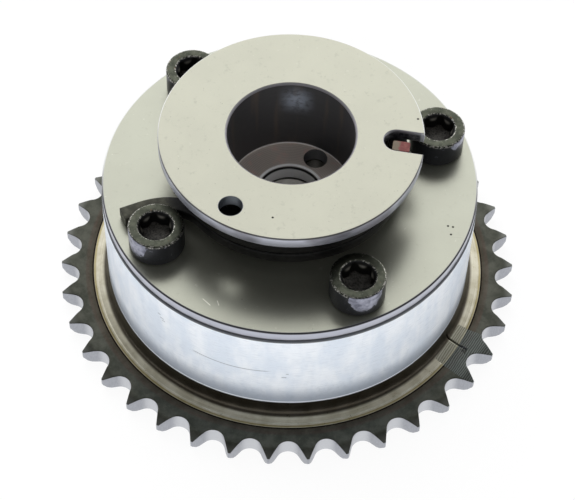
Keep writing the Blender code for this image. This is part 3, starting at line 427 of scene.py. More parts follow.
# the housing's skin runs from the top edge down the drum, through a quarter-ellipse cove and a
# low cone, out along the beveled tooth faces, down the tooth walls and back under the rear face
def makeHousing(h):
    shell = Shell()
    teeth = toothOutline(h)
    bearing = np.degrees(np.arctan2(teeth[:, 1], teeth[:, 0]))
    edge = h["edge"]

    def around(radius):
        return polar(radius, bearing)

    drum, coveTop, (footRadius, footHeight) = h["drumRadius"], h["coveTop"], h["coveFoot"]
    profile = [(drum - i, h["drumTop"] - d) for i, d in quarter(h["drumEdge"], 6)]
    profile += [(drum, height) for height in
                np.linspace(h["drumTop"] - h["drumEdge"], coveTop, 8)[1:]]
    profile += [(footRadius - (footRadius - drum) * math.cos(a),
                 coveTop - (coveTop - footHeight) * math.sin(a))
                for a in np.linspace(0.0, math.pi / 2.0, 15)[1:]]
    profile += [(footRadius + (h["shoulder"] - footRadius) * share,
                 footHeight + (h["thickness"] - footHeight) * share)
                for share in (0.35, 0.7, 1.0)]
    rings = [shell.ring(around(radius), height) for radius, height in profile]

    bevelDepth, bevelHeight = h["frontBevel"]

    # the face falls with how far a radius is over the bevel's start, eased in by a hyperbola
    def faceHeight(radius):
        over = radius - (h["tipRadius"] - bevelDepth)
        eased = 0.5 * (over + np.sqrt(over * over + h["bevelSoftness"]))
        fall = np.where(over < h["bevelStart"], 0.0, eased)
        return h["thickness"] - bevelHeight / bevelDepth * fall

    def rearHeight(radius):
        depth, height = h["rearBevel"]
        return np.maximum(radius - (h["tipRadius"] - depth), 0.0) * height / depth

    edgeLine = inset(teeth, edge)
    lineRadius = np.hypot(*edgeLine.T)
    for limit in h["faceRings"]:
        radius = np.minimum(limit, lineRadius)
        share = ((radius - h["shoulder"]) / (lineRadius - h["shoulder"]))[:, None]
        outline = around(h["shoulder"]) * (1.0 - share) + edgeLine * share
        rings.append(shell.ring(outline, faceHeight(np.hypot(*outline.T))))
    for i, d in quarter(edge, 3):
        rings.append(shell.ring(inset(teeth, i), faceHeight(lineRadius) - d))
    top, bottom = faceHeight(lineRadius) - edge, rearHeight(lineRadius) + edge
    for share in (0.3, 0.7):
        rings.append(shell.ring(teeth, top + (bottom - top) * share))
    for i, d in quarter(edge, 3)[::-1]:
        rings.append(shell.ring(inset(teeth, i), rearHeight(lineRadius) + d))
    radius = np.minimum(h["tipRadius"] - h["rearBevel"][0], lineRadius)
    rings.append(shell.ring(edgeLine * (radius / lineRadius)[:, None], 0.0))
    shell.skin(rings)

    lockCentre = polar(h["lockCircle"], lockAngle(h))
    bore = shell.turned([(h["rearBore"] + h["rearBoreEdge"], 0.0),
                         (h["rearBore"], h["rearBoreEdge"]), (h["rearBore"], h["floor"])], 128)
    vent = shell.hole(h["lockVent"], 0.0, h["lockPocketFloor"], 24, lockCentre)
    pocket = shell.hole(h["lockPocket"], h["lockPocketFloor"], h["floor"], 48, lockCentre)
    shell.cap(rings[-1], bore[0], vent[0])
    shell.cap(pocket[0], vent[-1])
    chamber = chamberOutline(h)
    chamberRings = shell.skin([shell.ring(chamber, h["floor"]),
                               shell.ring(chamber, h["drumTop"])])
    shell.cap(chamberRings[0], bore[-1], pocket[-1])
    holes = boltHoles(shell, h, h["drumTop"], h["boltHoleFloor"])
    shell.cap(rings[0], chamberRings[-1], *[hole[0] for hole in holes])
    for hole in holes:
        shell.cap(hole[-1])
    return shell.finish("housingShape", 50.0)


# a straight hole under each bolt head
def boltHoles(shell, h, top, bottom):
    return [shell.hole(h["boltHole"], top, bottom, 24, centre)
            for centre in polar(h["boltCircle"], h["bolts"])]


# the lock pin stands in the wide vane, a little past its middle at rest
def lockAngle(h):
    start, end = max(chamberSpans(h), key=lambda span: span[1] - span[0])
    return start + (end - start - h["rotorTurn"]) / 2.0 + h["lockPast"]


# the timing mark: a narrow groove with its outer end hooked clockwise
def cutTimingMark(piece, h):
    half = h["markWidth"] / 2.0
    inner, outer = h["mark"]
    hook = -half - h["markHook"]
    places = ((inner, -half), (outer, -half), (outer - 0.1, hook), (outer + 0.4, hook),
              (outer + 2.0 * half, -half), (outer + half, half), (inner, half))
    outline = np.array([polar(r, h["markAngle"], s) for r, s in places])
    shell = Shell()
    rings = shell.skin([shell.ring(outline, h["thickness"] - h["markDepth"]),
                        shell.ring(outline, h["coveTop"])])
    shell.cap(rings[0])
    shell.cap(rings[1])
    cut(piece, shell.finish("markTool"))


# takes the tool's solid out of the piece and bakes the result into the piece's mesh
def cut(piece, tool):
    modifier = piece.modifiers.new("cut", "BOOLEAN")
    modifier.operation, modifier.solver, modifier.object = "DIFFERENCE", "EXACT", tool
    bpy.context.view_layer.update()
    evaluated = piece.evaluated_get(bpy.context.evaluated_depsgraph_get())
    made = bpy.data.meshes.new_from_object(evaluated)
    piece.modifiers.clear()
    old, piece.data = piece.data, made
    bpy.data.meshes.remove(old)
    bpy.data.objects.remove(tool)


# Cover plate

plate = {"radius": 39.1, "bottom": 31.5, "top": 34.0, "edge": 0.28, "hole": 16.5,
         "steel": ((197, 199, 184), (189, 190, 176)), "rimSteel": (184, 187, 199),
         "pits": ((33.15, -13.59), (32.6, -11.44), (33.61, -11.66), (-23.7, -4.93)),
         "scratches": ((-16.74, -31.16, -14.86, -33.02),  # from x, y to x, y
                       (-13.74, -31.54, -13.28, -32.96))}


# a flat ring with rounded rims and a hole under each bolt head
def makePlate(p, h):
    shell = Shell()
    edge = quarter(p["edge"], 5)
    rim = [(p["radius"] - i, p["top"] - d) for i, d in edge]
    rim += [(p["radius"] - i, p["bottom"] + d / 2.0) for i, d in edge[::-1]]
    outer = shell.turned(rim, 384)
    inner = shell.hole(p["hole"], p["top"], p["bottom"], 128)
    holes = boltHoles(shell, h, p["top"], p["bottom"])
    shell.cap(outer[0], inner[0], *[hole[0] for hole in holes])
    shell.cap(outer[-1], inner[-1], *[hole[-1] for hole in holes])
    return shell.finish("plateShape")


# Cover bolts

bolt = {"head": 5.65, "height": 5.85, "edge": 0.42, "shank": 3.0, "length": 20.0, "seat": 34.3,
        "seatEdge": 0.15, "socket": 3.4, "wave": 0.34, "lobes": 6, "depth": 3.4,
        "countersink": 3.7, "floorFlat": 1.2,
        # the sides' tones are painted dark as shade; the patches are painted reflections on the
        # sides, as (x, y, z, reach)
        "sideSteel": ((34, 36, 40), (50, 51, 54)), "topSteel": ((98, 101, 89), (76, 79, 70)),
        "rubbed": ((15.6, -34.2, 39.2, 3.6), (-31.0, -21.9, 39.0, 3.5), (34.5, 5.6, 39.3, 1.3),
                   (35.6, 7.1, 39.4, 1.4))}


# one ring of points runs from the shank's tip up over the head and down into the socket, whose
# radius swings by a cosine to give its six lobes; each head stands at a turn of its own
def makeBolt(number, angle, b, h):
    shell = Shell()
    count = b["lobes"] * 24
    turn = math.radians(angle * number)
    around = np.arange(count) * 2.0 * math.pi / count
    lobes = b["socket"] - b["wave"] * (1.0 - np.cos(b["lobes"] * around))
    top = b["seat"] + b["height"]
    centre = polar(h["boltCircle"], angle)
    tip = b["seat"] - b["length"]
    profile = [(b["shank"] * 0.75, tip), (b["shank"], tip + b["shank"] / 4.0),
               (b["shank"], b["seat"]), (b["head"] - b["seatEdge"], b["seat"]),
               (b["head"], b["seat"] + b["seatEdge"]), (b["head"], top - b["edge"])]
    profile += [(b["head"] - i, top - d) for i, d in quarter(b["edge"], 6)[::-1]]
    profile += [(b["countersink"] + 0.14, top), (b["countersink"] + 0.05, top - 0.02),
                (b["countersink"] - 0.05, top - 0.10)]
    mouth, floor = top - (b["countersink"] - lobes), top - b["depth"]
    profile += [(lobes + 0.06, mouth + 0.04), (lobes, mouth - 0.06), (lobes, floor + 0.25),
                (lobes - 0.08, floor + 0.07), (lobes - 0.25, floor),
                (b["floorFlat"], floor - 0.15)]

    def band(radius, height):
        outline = np.stack([radius * np.cos(around + turn), radius * np.sin(around + turn)], 1)
        return shell.ring(outline + centre, height)

    rings = shell.skin([band(radius, height) for radius, height in profile])
    shell.cap(rings[0])
    shell.cap(rings[-1])
    return shell.finish(f"boltShape{number}")


# Front bush

bush = {"disc": 27.0, "top": 48.6, "thickness": 2.65, "edge": 0.24, "sleeve": 16.1,
        "fillet": 1.2, "cup": 13.0, "cupChamfer": 0.4, "cupFloor": 29.5, "bottom": 26.15,
        "hole": 6.35, "holeChamfer": 0.7, "pinHole": 2.55, "pinCircle": 10.4, "pinAngle": 59.4,
        "slotAngle": -8.9, "slotOffset": 2.1, "slotWidth": 5.25, "slotStart": 18.65,
        "discHole": 2.4, "discHoleCircle": 22.35, "discHoleAngle": 239.1,
        "dowelCircle": 9.9, "dowelHole": 1.8, "dowelDepth": 2.5,
        "steel": ((209, 209, 193), (201, 201, 186)), "rimSteel": ((152, 152, 162), (204, 207, 219)),
        # the bore's tones are painted dark, as the shade inside the cup
        "boreSteel": ((76, 76, 78), (58, 57, 58)), "floorSteel": ((206, 194, 186), (166, 158, 152)),
        "floorRings": 0.45, "sheenHeight": 43.6, "sheenAngle": 1.5,  # in radians
        "pits": ((-3.14, -21.71), (25.65, 4.53))}


# the disc's rim with the open slot let into it, its two mouth corners rounded
def discOutline(b):
    half = b["slotWidth"] / 2.0
    end = arc(half, b["slotAngle"] + 270.0, b["slotAngle"] + 90.0, 7.5,
              polar(b["slotStart"] + half, b["slotAngle"], b["slotOffset"]))
    low, high = b["slotOffset"] - half, b["slotOffset"] + half
    lowMouth = polar(math.sqrt(b["disc"] ** 2 - low ** 2), b["slotAngle"], low)
    highMouth = polar(math.sqrt(b["disc"] ** 2 - high ** 2), b["slotAngle"], high)
    start = math.degrees(math.atan2(highMouth[1], highMouth[0]))
    stop = math.degrees(math.atan2(lowMouth[1], lowMouth[0])) + 360.0
    rim = arc(b["disc"], start, stop, 1.0)
    corners = np.concatenate([rim, end])
    radii = [0] * len(corners)
    radii[0] = radii[len(rim) - 1] = 0.15
    return roundCorners(corners, radii, 3)


# the disc's rim follows its outline; the cup, the hole through its floor, the sleeve with its
# fillet and the small holes are circles about centres of their own
def makeBush(b):
    shell = Shell()
    outline = discOutline(b)
    under = b["top"] - b["thickness"]
    edge = quarter(b["edge"], 4)
    profile = [(i, b["top"] - d) for i, d in edge] + [(i, under + d) for i, d in edge[::-1]]
    rim = shell.skin([shell.ring(inset(outline, i), height) for i, height in profile])
    hole = discHole(shell, b, under)
    chamfer = b["cupChamfer"]
    cup = [(b["cup"] + chamfer + 0.06, b["top"]), (b["cup"] + chamfer - 0.02, b["top"] - 0.04)]
    cup += [(b["cup"] + 0.04, b["top"] - chamfer + 0.06), (b["cup"], b["top"] - chamfer - 0.08)]
    cup += [(b["cup"], b["cupFloor"] + 0.5), (b["cup"], b["cupFloor"] + 0.03),
            (b["cup"] - 0.03, b["cupFloor"])]
    cupRings = shell.turned(cup, 256)
    shell.cap(rim[0], cupRings[0], hole[0])
    sleeve = [(b["sleeve"] + i, under - d) for i, d in quarter(b["fillet"], 6)]
    sleeve += [(b["sleeve"], b["bottom"] + 0.2), (b["sleeve"] - 0.2, b["bottom"])]
    sleeveRings = shell.turned(sleeve, 256)
    shell.cap(rim[-1], sleeveRings[0], hole[-1])
    centre = [(b["hole"], b["bottom"]), (b["hole"], b["cupFloor"] - b["holeChamfer"] - 0.05),
              (b["hole"] + 0.05, b["cupFloor"] - b["holeChamfer"] + 0.05),
              (b["hole"] + b["holeChamfer"] - 0.05, b["cupFloor"] - 0.05),
              (b["hole"] + b["holeChamfer"] + 0.06, b["cupFloor"])]
    centreRings = shell.turned(centre, 128)
    pin = shell.hole(b["pinHole"], b["bottom"], b["cupFloor"], 64,
                     polar(b["pinCircle"], b["pinAngle"]))
    dowel = shell.hole(b["dowelHole"], b["bottom"], b["bottom"] + b["dowelDepth"], 24,
                       polar(b["dowelCircle"], b["pinAngle"] + 180.0))
    shell.cap(sleeveRings[-1], centreRings[0], pin[0], dowel[0])
    shell.cap(dowel[-1])
    shell.cap(cupRings[-1], centreRings[-1], pin[-1])
    return shell.finish("bushShape")


# a round hole through the disc, its mouth broken by two small steps
def discHole(shell, b, under):
    centre = polar(b["discHoleCircle"], b["discHoleAngle"])
    r = b["discHole"]
    return shell.turned([(r + 0.12, b["top"]), (r + 0.03, b["top"] - 0.04),
                         (r, b["top"] - 0.14), (r, under)], 64, centre)


# Bias spring

spring = {"width": 3.5, "height": 2.6, "corner": 0.42, "outer": 24.15, "shift": 0.65,
          "turnGap": 0.32, "fullTurns": 2, "seatGap": 0.3, "contactAngle": 107.0,
          "endHeading": 205.0, "endLength": 3.8, "bend": 0.4, "belowTop": 0.5,
          "endScale": 0.93, "endRound": 0.1, "coilStep": 3.0, "hookStep": 2.0, "endSteps": 5,
          # the coil's tones are painted darker than the leg's, as shade under the disc
          "coilSteel": ((24, 24, 24), (38, 38, 37)), "legSteel": ((58, 58, 50), (82, 82, 71)),
          "paint": ((104, 46, 44), (124, 68, 62)), "rubbedPaint": (104, 99, 82)}


# the wire's section: a rectangle with round corners, as across and up values
def wireSection(s):
    w, t = s["width"] / 2.0, s["height"] / 2.0
    corners = np.array([(-w, -t), (w, -t), (w, t), (-w, t)])
    return roundCorners(corners, [s["corner"]] * 4, 4)


# the wire's path: down from the tang in the slot through a quarter bend, round the coil as a
# helix off the axis, then one arc that leaves the coil's circle and passes the bolt head
def wirePath(s, b, h, p, headRadius):
    radius = s["outer"] - s["width"] / 2.0
    under = b["top"] - b["thickness"]
    bendRadius = s["bend"] + s["height"] / 2.0
    high = under - s["seatGap"] - bendRadius
    sideways = b["slotOffset"] - b["slotWidth"] / 2.0 + s["seatGap"] + s["height"] / 2.0
    ahead = polar(1.0, b["slotAngle"])
    along = s["shift"] * ahead[1] + math.sqrt(radius ** 2
                                              - (sideways - s["shift"] * ahead[0]) ** 2)
    x, y = polar(along, b["slotAngle"], sideways)
    angle = math.degrees(math.atan2(y - s["shift"], x))
    ax, ay = polar(1.0, angle)
    fx, fy = ay, -ax
    # the tang and the bend into the coil
    a = np.linspace(0.0, math.pi / 2.0, 9)
    run = bendRadius * (1.0 - np.cos(a))
    centres = [[[x, y, b["top"] - s["belowTop"]]],
               np.stack([x + fx * run, y + fy * run, high + bendRadius * (1.0 - np.sin(a))], 1)]
    ups = [[[fx, fy, 0.0]], np.stack([fx * np.cos(a), fy * np.cos(a), np.sin(a)], 1)]
    acrosses = [np.tile([ax, ay, 0.0], (len(a) + 1, 1))]

    # the hook's arc: its centre stands off the coil's by both radii, so the two circles touch
    bx, by = polar(h["boltCircle"], h["bolts"][2])
    reach = headRadius + s["seatGap"] + s["width"] / 2.0
    ux, uy = polar(1.0, s["contactAngle"])
    px, py = bx + reach * ux, by + reach * uy - s["shift"]
    hook = (px * px + py * py - radius ** 2) / (2.0 * (radius + px * ux + py * uy))
    hookX, hookY = bx + (reach - hook) * ux, by + (reach - hook) * uy
    leave = math.degrees(math.atan2(hookY - s["shift"], hookX)) % 360.0

    # the coil, which falls by one pitch a turn
    start = angle - math.degrees(bendRadius / radius)
    sweep = (start - leave) % 360.0 + 360.0 * s["fullTurns"]
    turned = np.linspace(0.0, sweep, math.ceil(sweep / s["coilStep"]) + 1)[1:]
    out = polar(1.0, start - turned)
    pitch = s["height"] + s["turnGap"]
    centres.append(np.column_stack([radius * out[:, 0], radius * out[:, 1] + s["shift"],
                                    high - pitch * turned / 360.0]))
    acrosses.append(np.column_stack([out, turned * 0.0]))

    # the leg: it settles onto the plate on its way round the hook, then runs straight
    last = high - pitch * sweep / 360.0
    low = p["top"] + s["seatGap"] + s["height"] / 2.0
    bent = arc(hook, leave - 180.0, s["endHeading"] - 90.0, s["hookStep"], (hookX, hookY))[1:]
    share = np.arange(1, len(bent) + 1) / len(bent)
    fall = share * share * (3.0 - 2.0 * share)
    centres.append(np.column_stack([bent, last + (low - last) * fall]))
    acrosses.append(np.column_stack([(np.array([hookX, hookY]) - bent) / hook, share * 0.0]))
    end = polar(s["endLength"], s["endHeading"])
    lastCentre, lastAcross = centres[-1][-1], acrosses[-1][-1]
    steps = np.linspace(0.0, 1.0, s["endSteps"] + 1)[1:, None]
    centres.append(lastCentre + np.array([*end, 0.0]) * steps)
    acrosses.append(np.tile(lastAcross, (len(steps), 1)))
    ups.append(np.tile([0.0, 0.0, 1.0], (len(turned) + len(bent) + len(steps), 1)))
    return [np.concatenate(rows) for rows in (centres, acrosses, ups)]


# the section carried along the path; both ends are drawn in a little and closed flat
def makeSpring(s, b, h, p, headRadius):
    centres, acrosses, ups = [np.concatenate([rows[:1], rows, rows[-1:]])
                              for rows in wirePath(s, b, h, p, headRadius)]
    section = wireSection(s)
    scale = np.ones((len(centres), 1, 1))
    scale[[0, -1]] = s["endScale"]
    centres[0] += (0.0, 0.0, s["endRound"])
    away = centres[-2] - centres[-3]
    centres[-1] += away / np.linalg.norm(away) * s["endRound"]
    spread = section[None, :, :] * scale
    points = (centres[:, None, :] + acrosses[:, None, :] * spread[:, :, :1]
              + ups[:, None, :] * spread[:, :, 1:])
    count = len(section)
    rows = np.arange(len(centres))[:, None] * count + np.arange(count)[None, :]
    one, two = rows[:-1], rows[1:]
    quads = np.stack([one, np.roll(one, -1, 1), np.roll(two, -1, 1), two], 2).reshape(-1, 4)
    fan = np.arange(1, count - 1)
    caps = np.stack([fan * 0, fan, fan + 1], 1)
    triangles = np.concatenate([caps, caps + rows[-1, 0]])
    piece = closedMesh("springShape", points.reshape(-1, 3), quads, triangles, 40.0)
    sideways = piece.data.attributes.new("across", "FLOAT", "POINT")
    sideways.data.foreach_set("value", np.tile(section[:, 0] / (s["width"] / 2.0), len(centres)))
    return piece


# Everything inside keeps its own form, with its facets joined and shaded smooth

# each steel as a light tone, a dark tone and a roughness
inside = {"sharpAngle": 32.0, "rotor": ((172, 170, 166), (142, 140, 136), 0.38),
          "hard": ((176, 176, 176), (150, 150, 152), 0.2),
          "leaf": ((170, 165, 152), (140, 136, 126), 0.3), "seal": ((58, 54, 50), (78, 74, 68))}


def smoothCopy(name):
    solid = nodes[name].data
    corners = np.zeros(len(solid.loops), int)
    solid.loops.foreach_get("vertex_index", corners)
    mesh = bpy.data.meshes.new(name + "Smooth")
    mesh.from_pydata(vertexPlaces(solid).tolist(), [], corners.reshape(-1, 3).tolist())
    mesh.polygons.foreach_set("use_smooth", np.ones(len(mesh.polygons), bool))
    cleaned(mesh, inside["sharpAngle"])
    return newObject(name + "Smooth", mesh)


# the pin's coil spring takes its finish and stands in for the model's spring, its points left as
# they are
def pressSpring(piece, look):
    piece.data.materials.append(look)
    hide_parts("lock_pin_spring")
    x, y, z = vertexPlaces(piece.data).T
    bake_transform(piece)
    print(piece.name, len(piece.data.polygons), "faces")


# Finishes

# a long thin scratch round the drum: it fades in and out, and bows by its distance squared
def drumScratch(f, start, end, height, bow):
    turn = f.angle - math.radians((start + end) / 2.0)
    line = abs(f.z - height - turn * turn * bow).rise(0.17, 0.04)
    return line * abs(turn).rise(math.radians(end - start) / 2.0, 0.0).rise(0.0, 0.15)


# a thin straight scratch between two places
def scratch(f, x0, y0, x1, y1):
    length = math.hypot(x1 - x0, y1 - y0)
    ux, uy = (x1 - x0) / length, (y1 - y0) / length
    along = (f.x - x0) * ux + (f.y - y0) * uy - length / 2.0
    across = (f.y - y0) * ux - (f.x - x0) * uy
    return abs(across).rise(0.16, 0.04) * abs(along).rise(length / 2.0, length / 3.0)


# the flat spot-milled for the timing mark: its straight tool marks as a wave, and its patch
def milledFlat(f, h):
    a = math.radians(h["milledAngle"])
    bend = f.noise(1.6, 2.0, 0.5) * 0.5
    marks = (f.x * math.cos(a) + f.y * math.sin(a) + bend).wave(h["milledPitch"])
    first, last = h["milled"]
    patch = f.angle.rise(math.radians(first - 0.1), math.radians(first + 0.1))
    patch = patch * f.angle.rise(math.radians(last + 0.1), math.radians(last - 0.1))
    return marks, patch * f.radius.rise(h["coveFoot"][0] - 0.3, h["coveFoot"][0])


def housingFinish(h):
    f = Finish("housingFinish")
    r, z = f.radius, f.z
    onDrum = z.rise(h["coveTop"] - 0.15, h["coveTop"] + 0.1)
    below = 1.0 - onDrum
    onCove = below * r.rise(h["shoulder"] + 0.05, h["shoulder"] - 0.1)
    onFace = below * r.rise(h["shoulder"] - 0.1, h["shoulder"] + 0.05)
    marks, patch = milledFlat(f, h)
    patch = patch * below

    # drum: satin bluish white, fine turning marks, smears, dents and thin scratches, with painted
    # shade darkening it towards its foot, a painted highlight line there and a dark seam under the
    # plate
    turning = f.noise(0.14, 3.0, 0.6, f.vector(f.angle * 2.0, z, 0.0))
    cloud = f.noise(5.0, 3.0, 0.6, squash=0.4)
    smear = f.noise(2.0, 4.0, 0.7, seed=6.0, squash=0.7).rise(0.45, 0.70)
    hairs = f.noise(1.0, 2.0, 0.5, f.vector(f.angle * 1.2, (z + f.angle * 4.0) * 7.0, 0.0))
    few = f.noise(6.0, 1.0, 0.5, seed=3.0).rise(0.50, 0.60)
    dents = f.noise(0.5, 3.0, 0.6, seed=11.0, squash=1.8).rise(0.72, 0.75)
    drum = f.layers(
        f.mix(*h["drumSteel"], cloud.rise(0.35, 0.65)),
        ((182, 191, 205), turning.rise(0.50, 0.72) * 0.5),
        ((152, 162, 176), smear * (0.06 + 0.24 * z.rise(17.0, 9.5))),
        ((128, 136, 150), hairs.rise(0.66, 0.71) * few * 0.7),
        ((120, 128, 142), dents * 0.5),
        ((134, 144, 158), z.rise(15.5, 9.5) * 0.75),
        *[((104, 112, 126), drumScratch(f, *line) * 0.75) for line in h["scratches"]],
        ((236, 241, 248), z.near(h["coveTop"] + 0.3, 0.26)),
        ((50, 52, 58), z.rise(h["drumTop"] - 0.5, h["drumTop"] - 0.28) * 0.9))

    # cove and ring: straw-tinted turned steel, darkened by painted brown shade down in the cove,
    # yellow at its outer edge
    grooves = f.noise(0.22, 3.0, 0.6, f.vector(r, f.angle * 0.5, z * 0.3))
    wander = r + 0.22 * f.noise(0.7, 3.0, 0.7)
    ring = f.layers(
        f.mix(*h["ringSteel"], f.noise(3.0, 3.0, 0.6).rise(0.3, 0.7)),
        ((120, 104, 78), grooves.rise(0.52, 0.7) * 0.3),
        ((150, 132, 58), wander.near(42.55, 0.3) * 0.6),
        ((50, 41, 34), r.rise(40.9, 40.1) * 0.85),
        (f.mix(*h["milledRing"], marks), patch * 0.8))

    # tooth face: dark olive, browned by heat beside the ring, its bevelled tips paler by a painted
    # highlight, with a painted shadow line at the foot of the ring
    grain = f.noise(0.5, 4.0, 0.6)
    face = f.layers(
        f.mix(*h["faceSteel"], f.noise(3.5, 5.0, 0.65).rise(0.35, 0.65)),
        ((112, 112, 102), grain.rise(0.55, 0.8) * 0.4),
        ((70, 56, 44), wander.rise(44.6, 43.0) * 0.55),
        ((98, 52, 44), wander.near(44.2, 0.6) * cloud * 0.3),
        ((128, 130, 126), r.rise(47.6, 49.7) * 0.6),
        ((16, 13, 10), wander.near(42.98, 0.24) * 0.9),
        (f.mix(*h["milledFace"], marks), patch * 0.65))

    # tooth walls: blanked and ground, brighter than the face
    drawn = f.noise(0.3, 3.0, 0.6, f.vector(f.angle * 40.0, z * 0.4, r))
    walls = f.mix(f.mix(*h["wallSteel"], drawn), (212, 214, 218), r.rise(47.4, 45.9) * 0.75)
    normal = f.add("ShaderNodeNewGeometry")["True Normal"]
    upwards = f.add("ShaderNodeSeparateXYZ", {}, {0: normal})[2]

    colour = f.layers(face, (walls, upwards.rise(0.35, 0.2) * onFace), (ring, onCove),
                      (drum, onDrum))
    roughness = 0.24 + 0.10 * f.noise(1.5, 3.0, 0.6) + 0.16 * onDrum + 0.09 * onFace
    lip = r.near(42.15, 0.42) * onCove * (1.0 - patch)
    height = turning * onDrum + grain * onFace * 0.8 + marks * patch * 1.5 + lip * 14.0
    return f.finish(colour, roughness, height, 0.004, 1.0 - 0.8 * onDrum)


# ground steel: fine grain, worn and pale spots, specks, fine lines, and pits at given places
def groundFinish(name, piece):
    f = Finish(name)
    cloud = f.noise(9.0, 3.0, 0.5).rise(0.3, 0.7)
    grain = f.noise(0.25, 3.0, 0.6, f.vector(f.x * 0.5 + f.y * 0.08, f.y * 2.4, f.z))
    lines = f.noise(1.0, 1.0, 0.5, f.vector(f.x * 0.12 + f.y * 0.03, f.y * 5.0, 0.0), 9.0)
    few = f.noise(7.0, 1.0, 0.5, seed=10.0).rise(0.52, 0.60)
    colour = f.layers(
        f.mix(*piece["steel"], cloud * 0.5 + grain * 0.4),
        ((182, 183, 168), f.noise(1.3, 4.0, 0.7, seed=8.0).rise(0.56, 0.70) * 0.45),
        ((232, 232, 222), f.noise(0.7, 3.0, 0.6, seed=13.0).rise(0.66, 0.72) * 0.35),
        ((112, 110, 98), f.noise(0.5, 2.0, 0.5, seed=5.0).rise(0.70, 0.75) * 0.5),
        ((158, 156, 142), lines.rise(0.74, 0.76) * few * 0.5),
        ((34, 32, 28), f.nearest(piece["pits"]).rise(0.30, 0.16)))
    return f, colour, 0.36 + 0.08 * grain, grain


def bushFinish(b):
    f, colour, roughness, grain = groundFinish("bushFinish", b)
    r, z, top, floor, cup, disc = f.radius, f.z, b["top"], b["cupFloor"], b["cup"], b["disc"]
    under = top - b["thickness"]
    offTop = z.rise(top - 0.005, top - 0.02)
    rim = r.rise(cup + 1.5, cup + 2.0) * offTop
    inCup = r.rise(cup + 0.6, cup + 0.3) * offTop
    chamfer = inCup * z.rise(top - b["cupChamfer"] - 0.05, top - b["cupChamfer"])

    # bore: turned, painted dark grey as the shade inside the cup, with a bluish painted highlight
    # near its mouth and a painted highlight line at its foot
    bore = f.noise(0.2, 3.0, 0.6, f.vector(f.angle * 0.8, z, 0.0))
    streak = f.noise(3.0, 2.0, 0.5, squash=0.12)
    sheen = abs(f.angle - b["sheenAngle"]).rise(0.34, 0.0)
    sheen = sheen * abs(z - b["sheenHeight"]).rise(5.0, 0.0)
    sheen = sheen * f.noise(1.8, 3.0, 0.6, squash=1.5).rise(0.25, 0.6)
    foot = z.near(floor + 0.12, 0.5)

    # cup floor: faced with fine rings; at the centre hole a painted highlight on its chamfer, a
    # painted shadow ring at its step, and its wall painted white as painted light
    onFloor = z.rise(floor + 0.05, floor + 0.01)
    mouth = b["hole"] + b["holeChamfer"]
    brightRing = r.near(mouth + 0.02, 0.45) * onFloor
    centre = r.rise(b["hole"] + 0.15, b["hole"] - 0.05)
    cupFloor = f.layers(
        f.mix(*b["floorSteel"], r.wave(b["floorRings"]) * 0.5 + bore * 0.5),
        ((214, 180, 172), streak.rise(0.5, 0.65) * 0.5),
        ((255, 255, 255), brightRing),
        ((14, 13, 12), r.near(mouth - 0.5, 0.42)),
        ((255, 255, 255), centre))
    pinWall = f.nearest([polar(b["pinCircle"], b["pinAngle"])])
    pinWall = pinWall.rise(b["pinHole"] + 0.08, b["pinHole"] + 0.02)
    cupLook = f.layers(
        f.mix(*b["boreSteel"], bore),
        ((116, 100, 82), streak.rise(0.5, 0.7) * 0.35),
        ((176, 186, 202), sheen * 0.6),
        ((250, 248, 248), foot),
        (cupFloor, onFloor),
        ((124, 124, 126), pinWall * z.rise(floor - 0.01, floor - 0.03)),
        ((182, 180, 186), chamfer))

    # rim in bands of grey, its top edge with a painted highlight at the back and a painted dark
    # reflection in front; the slot's walls painted darker as shade, paler near the top as painted
    # light
    bands = f.noise(9.0, 2.0, 0.5, seed=14.0, squash=2.0).rise(0.4, 0.6)
    edge = z.rise(top - 0.34, top - 0.26) * r.rise(disc - 0.6, disc - 0.4) * offTop
    slotShade = f.mix((112, 110, 116), (66, 66, 72), f.noise(0.9, 3.0, 0.6).rise(0.35, 0.6))
    slotShade = f.mix(slotShade, (176, 176, 184), z.rise(top - 0.9, top - 0.3))
    hole = f.nearest([polar(b["discHoleCircle"], b["discHoleAngle"])])
    colour = f.layers(
        colour,
        (f.mix(*b["rimSteel"], bands), rim),
        (f.mix((240, 241, 236), (84, 82, 80), f.y.rise(3.0, -9.0)), edge * 0.8),
        (slotShade, rim * r.rise(disc - 0.6, disc - 1.0)),
        (cupLook, inCup),
        ((146, 152, 160), hole.rise(b["discHole"] + 0.16, b["discHole"] + 0.02) * offTop),
        # painted shade under the disc, on its underside and the sleeve below it
        ((62, 60, 55), z.rise(under + 0.1, under - 0.1) * r.rise(cup + 0.6, cup + 1.2)))
    # inside the cup the metallic share drops, to nothing at the painted highlights and the painted
    # light in the centre hole
    dull = inCup * (1.0 - chamfer) * (0.7 + 0.3 * brightRing.most(foot).most(centre))
    return f.finish(colour, roughness + 0.06 * inCup, grain, 0.002, 0.9 - 0.9 * dull)


def plateFinish(p):
    f, colour, roughness, grain = groundFinish("plateFinish", p)
    rim = f.radius.rise(p["radius"] - 0.4, p["radius"] - 0.15)
    # the rim's rounded edges carry a painted highlight at the back and a painted dark reflection in
    # front
    edge = rim * abs(f.z - (p["top"] + p["bottom"]) / 2.0).rise(0.82, 0.98)
    colour = f.layers(
        colour,
        *[((255, 255, 244), scratch(f, *ends) * 0.8) for ends in p["scratches"]],
        (p["rimSteel"], rim),
        (f.mix((236, 237, 233), (58, 56, 58), f.y.rise(6.0, -8.0)), edge * 0.9))
    return f.finish(colour, roughness - 0.10, grain, 0.002, 0.93)
